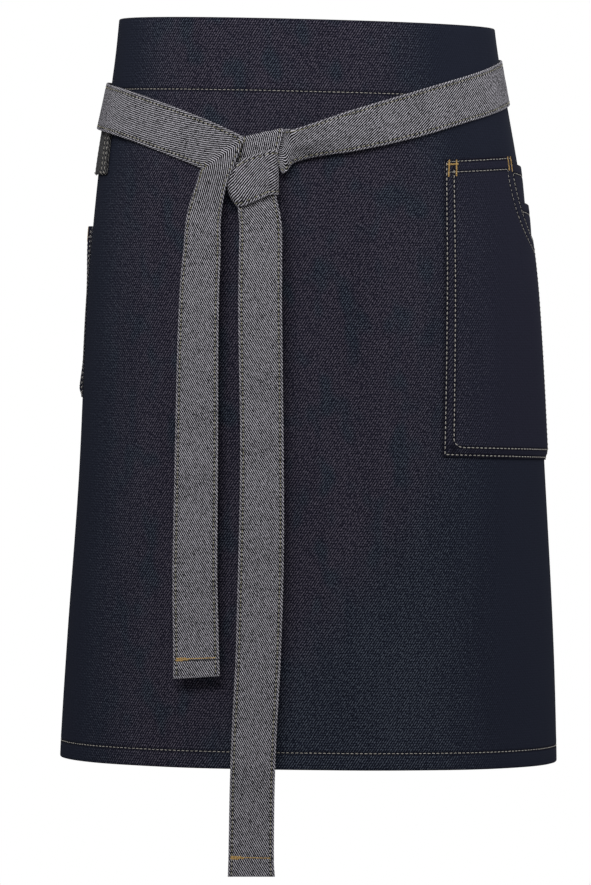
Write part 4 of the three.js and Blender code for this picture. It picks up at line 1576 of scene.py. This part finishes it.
# The tie cloth darkened as painted shade, for the loop seen edge-on in the shadow of the strap above.
SHADED_TIE_CLOTH = Twill("shaded_tie_cloth", dark=(0.008, 0.008, 0.01), middle=(0.03, 0.03, 0.032),
                   light=(0.12, 0.118, 0.12), angle=30.0, seam_shade=0.8)
KHAKI = Thread("khaki_thread", dark=(0.17, 0.16, 0.14), light=(0.52, 0.5, 0.46))
GOLD = Thread("golden_thread", dark=(0.28, 0.16, 0.045), light=(0.62, 0.43, 0.18))
OLIVE = Thread("olive_thread", dark=(0.12, 0.11, 0.07), light=(0.4, 0.38, 0.27))

LAMPS = (
    ("key", (-0.58, -1.4, 1.0), (1.9, 0.7), 33.5), ("side", (1.3, -0.2, 0.5), (1.5, 1.5), 18.0),
    ("fill", (-1.4, 0.5, 0.6), (1.5, 1.5), 6.0), ("back", (0.2, 2.0, 1.0), (1.9, 0.7), 30.0),
)


@dataclass
class Studio:
    """White surroundings, soft light and the camera, all in metres."""

    aim: Vector = field(default_factory=lambda: Vector((-0.01025, 0.0, -0.3174)))
    eye: Vector = field(default_factory=lambda: Vector((0.0, -5.0, -0.185)))
    lens: float = 248.04
    sensor: float = 36.0
    size: tuple[int, int] = (591, 885)
    ambient: float = 0.045
    floor_z: float = -1.02
    floor_radius: float = 2.6
    floor_colour: Colour = (0.62, 0.62, 0.62)
    floor_roughness: float = 0.9
    floor_sides: int = 96
    far: float = 60.0

    def world(self) -> None:
        """A world that is white to the camera and a soft grey light to everything else."""
        world = bpy.data.worlds.new("studio")
        bpy.context.scene.world = world
        book = NodeBook(world)
        seen = book.node("ShaderNodeLightPath", {}, {}).outputs["Is Camera Ray"]
        reach = {"Value": seen, "To Min": self.ambient, "To Max": 1.0}
        strength = book.node("ShaderNodeMapRange", {}, reach).outputs[0]
        sky = book.node("ShaderNodeBackground", {}, {"Color": (1.0, 1.0, 1.0, 1.0), "Strength": strength})
        book.node("ShaderNodeOutputWorld", {}, {0: sky.outputs[0]})

    def _aimed(self, item: bpy.types.Object, place: Vector, at: Vector) -> None:
        """Puts an object in place, looking at a point."""
        item.location = place
        item.rotation_euler = (at - place).to_track_quat("-Z", "Y").to_euler()
        bpy.context.scene.collection.objects.link(item)

    def lamp(self, name: str, place: Vector, size: tuple[float, float], watts: float) -> None:
        """A soft light, as wide and high as its size, that looks at the apron."""
        light = bpy.data.lights.new(name, "AREA")
        light.shape = "RECTANGLE"
        light.size, light.size_y = size
        light.energy = watts
        self._aimed(bpy.data.objects.new(name, light), place, self.aim)

    def floor(self) -> None:
        """A pale disc below the apron, where a wearer would stand."""
        angle = np.linspace(0.0, 2 * np.pi, self.floor_sides + 1)[:-1]
        ring = np.stack([np.cos(angle), np.sin(angle), np.zeros_like(angle)], axis=-1) * self.floor_radius
        ring[:, 2] = self.floor_z
        mesh = bpy.data.meshes.new("floor")
        mesh.from_pydata(ring.tolist(), [], [list(range(self.floor_sides))])
        book = NodeBook(bpy.data.materials.new("floor"))
        look = {"Base Color": (*self.floor_colour, 1.0), "Roughness": self.floor_roughness}
        shader = book.node("ShaderNodeBsdfPrincipled", {}, look)
        book.node("ShaderNodeOutputMaterial", {}, {0: shader.outputs[0]})
        mesh.materials.append(book.owner)
        disc = bpy.data.objects.new("floor", mesh)
        bpy.context.scene.collection.objects.link(disc)

    def camera(self) -> None:
        """The camera at the photo's angle and the picture's shape."""
        lens = bpy.data.cameras.new("camera")
        lens.lens = self.lens
        lens.sensor_width = self.sensor
        lens.clip_end = self.far
        item = bpy.data.objects.new("camera", lens)
        self._aimed(item, self.eye, self.aim)
        scene = bpy.context.scene
        scene.camera = item
        scene.render.resolution_x, scene.render.resolution_y = self.size
        scene.view_settings.view_transform = "Standard"

    def build(self) -> None:
        """Sets up everything round the apron."""
        self.world()
        for name, place, size, watts in LAMPS:
            self.lamp(name, Vector(place), size, watts)
        self.floor()
        self.camera()


def main() -> None:
    """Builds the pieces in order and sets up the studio."""
    logging.basicConfig(level=logging.INFO, format="%(name)s %(message)s")
    form = BodyForm()
    face, inside, pocket = (cloth.build() for cloth in (DENIM_FACE, DENIM_INSIDE, DENIM_POCKET))
    tie_cloth, shaded_tie_cloth = TIE_CLOTH.build(), SHADED_TIE_CLOTH.build()
    khaki, gold, olive = KHAKI.build(), GOLD.build(), OLIVE.build()

    panel = ApronPanel(form)
    panel_piece = panel.build([face, inside])
    panel_rows = panel.stitch(khaki)
    panel.declare(panel_piece, panel_rows, ["wearer", "tie_left_cloth", "tie_right_cloth"])

    tool = ToolPocket(form)
    front = tool.build_front([pocket, inside])
    sewn = [tool.stitch(khaki), tool.stitch_brink(khaki), tool.tack(gold)]
    for layer in tool.layers:
        piece = tool.build_layer(layer, [pocket, inside])

    patch = PatchPocket(form)
    piece = patch.build([pocket, inside])
    sewn = [patch.stitch(khaki), patch.tack(gold)]

    loop = Strip(form, "side_loop", SIDE_LOOP, width=41.0, thickness=0.9, seams=(-18.5, 11.0, 17.5),
                 thread=0.36, pitch=4.2)
    piece = loop.build([shaded_tie_cloth, shaded_tie_cloth])
    loop.declare(piece, [loop.stitch(khaki)], [panel_piece])
    for name, route, tacked in (("tie_left", TIE_LEFT, -1), ("tie_right", TIE_RIGHT, 1)):
        tie = Strip(form, name, route, ends=(4.0, -14.5))
        piece = tie.build([tie_cloth, tie_cloth])
        tie.declare(piece, [tie.stitch(olive), tie.cross_stitch(gold, tacked)], [panel_piece])

    Studio().build()


if __name__ == "__main__":
    main()
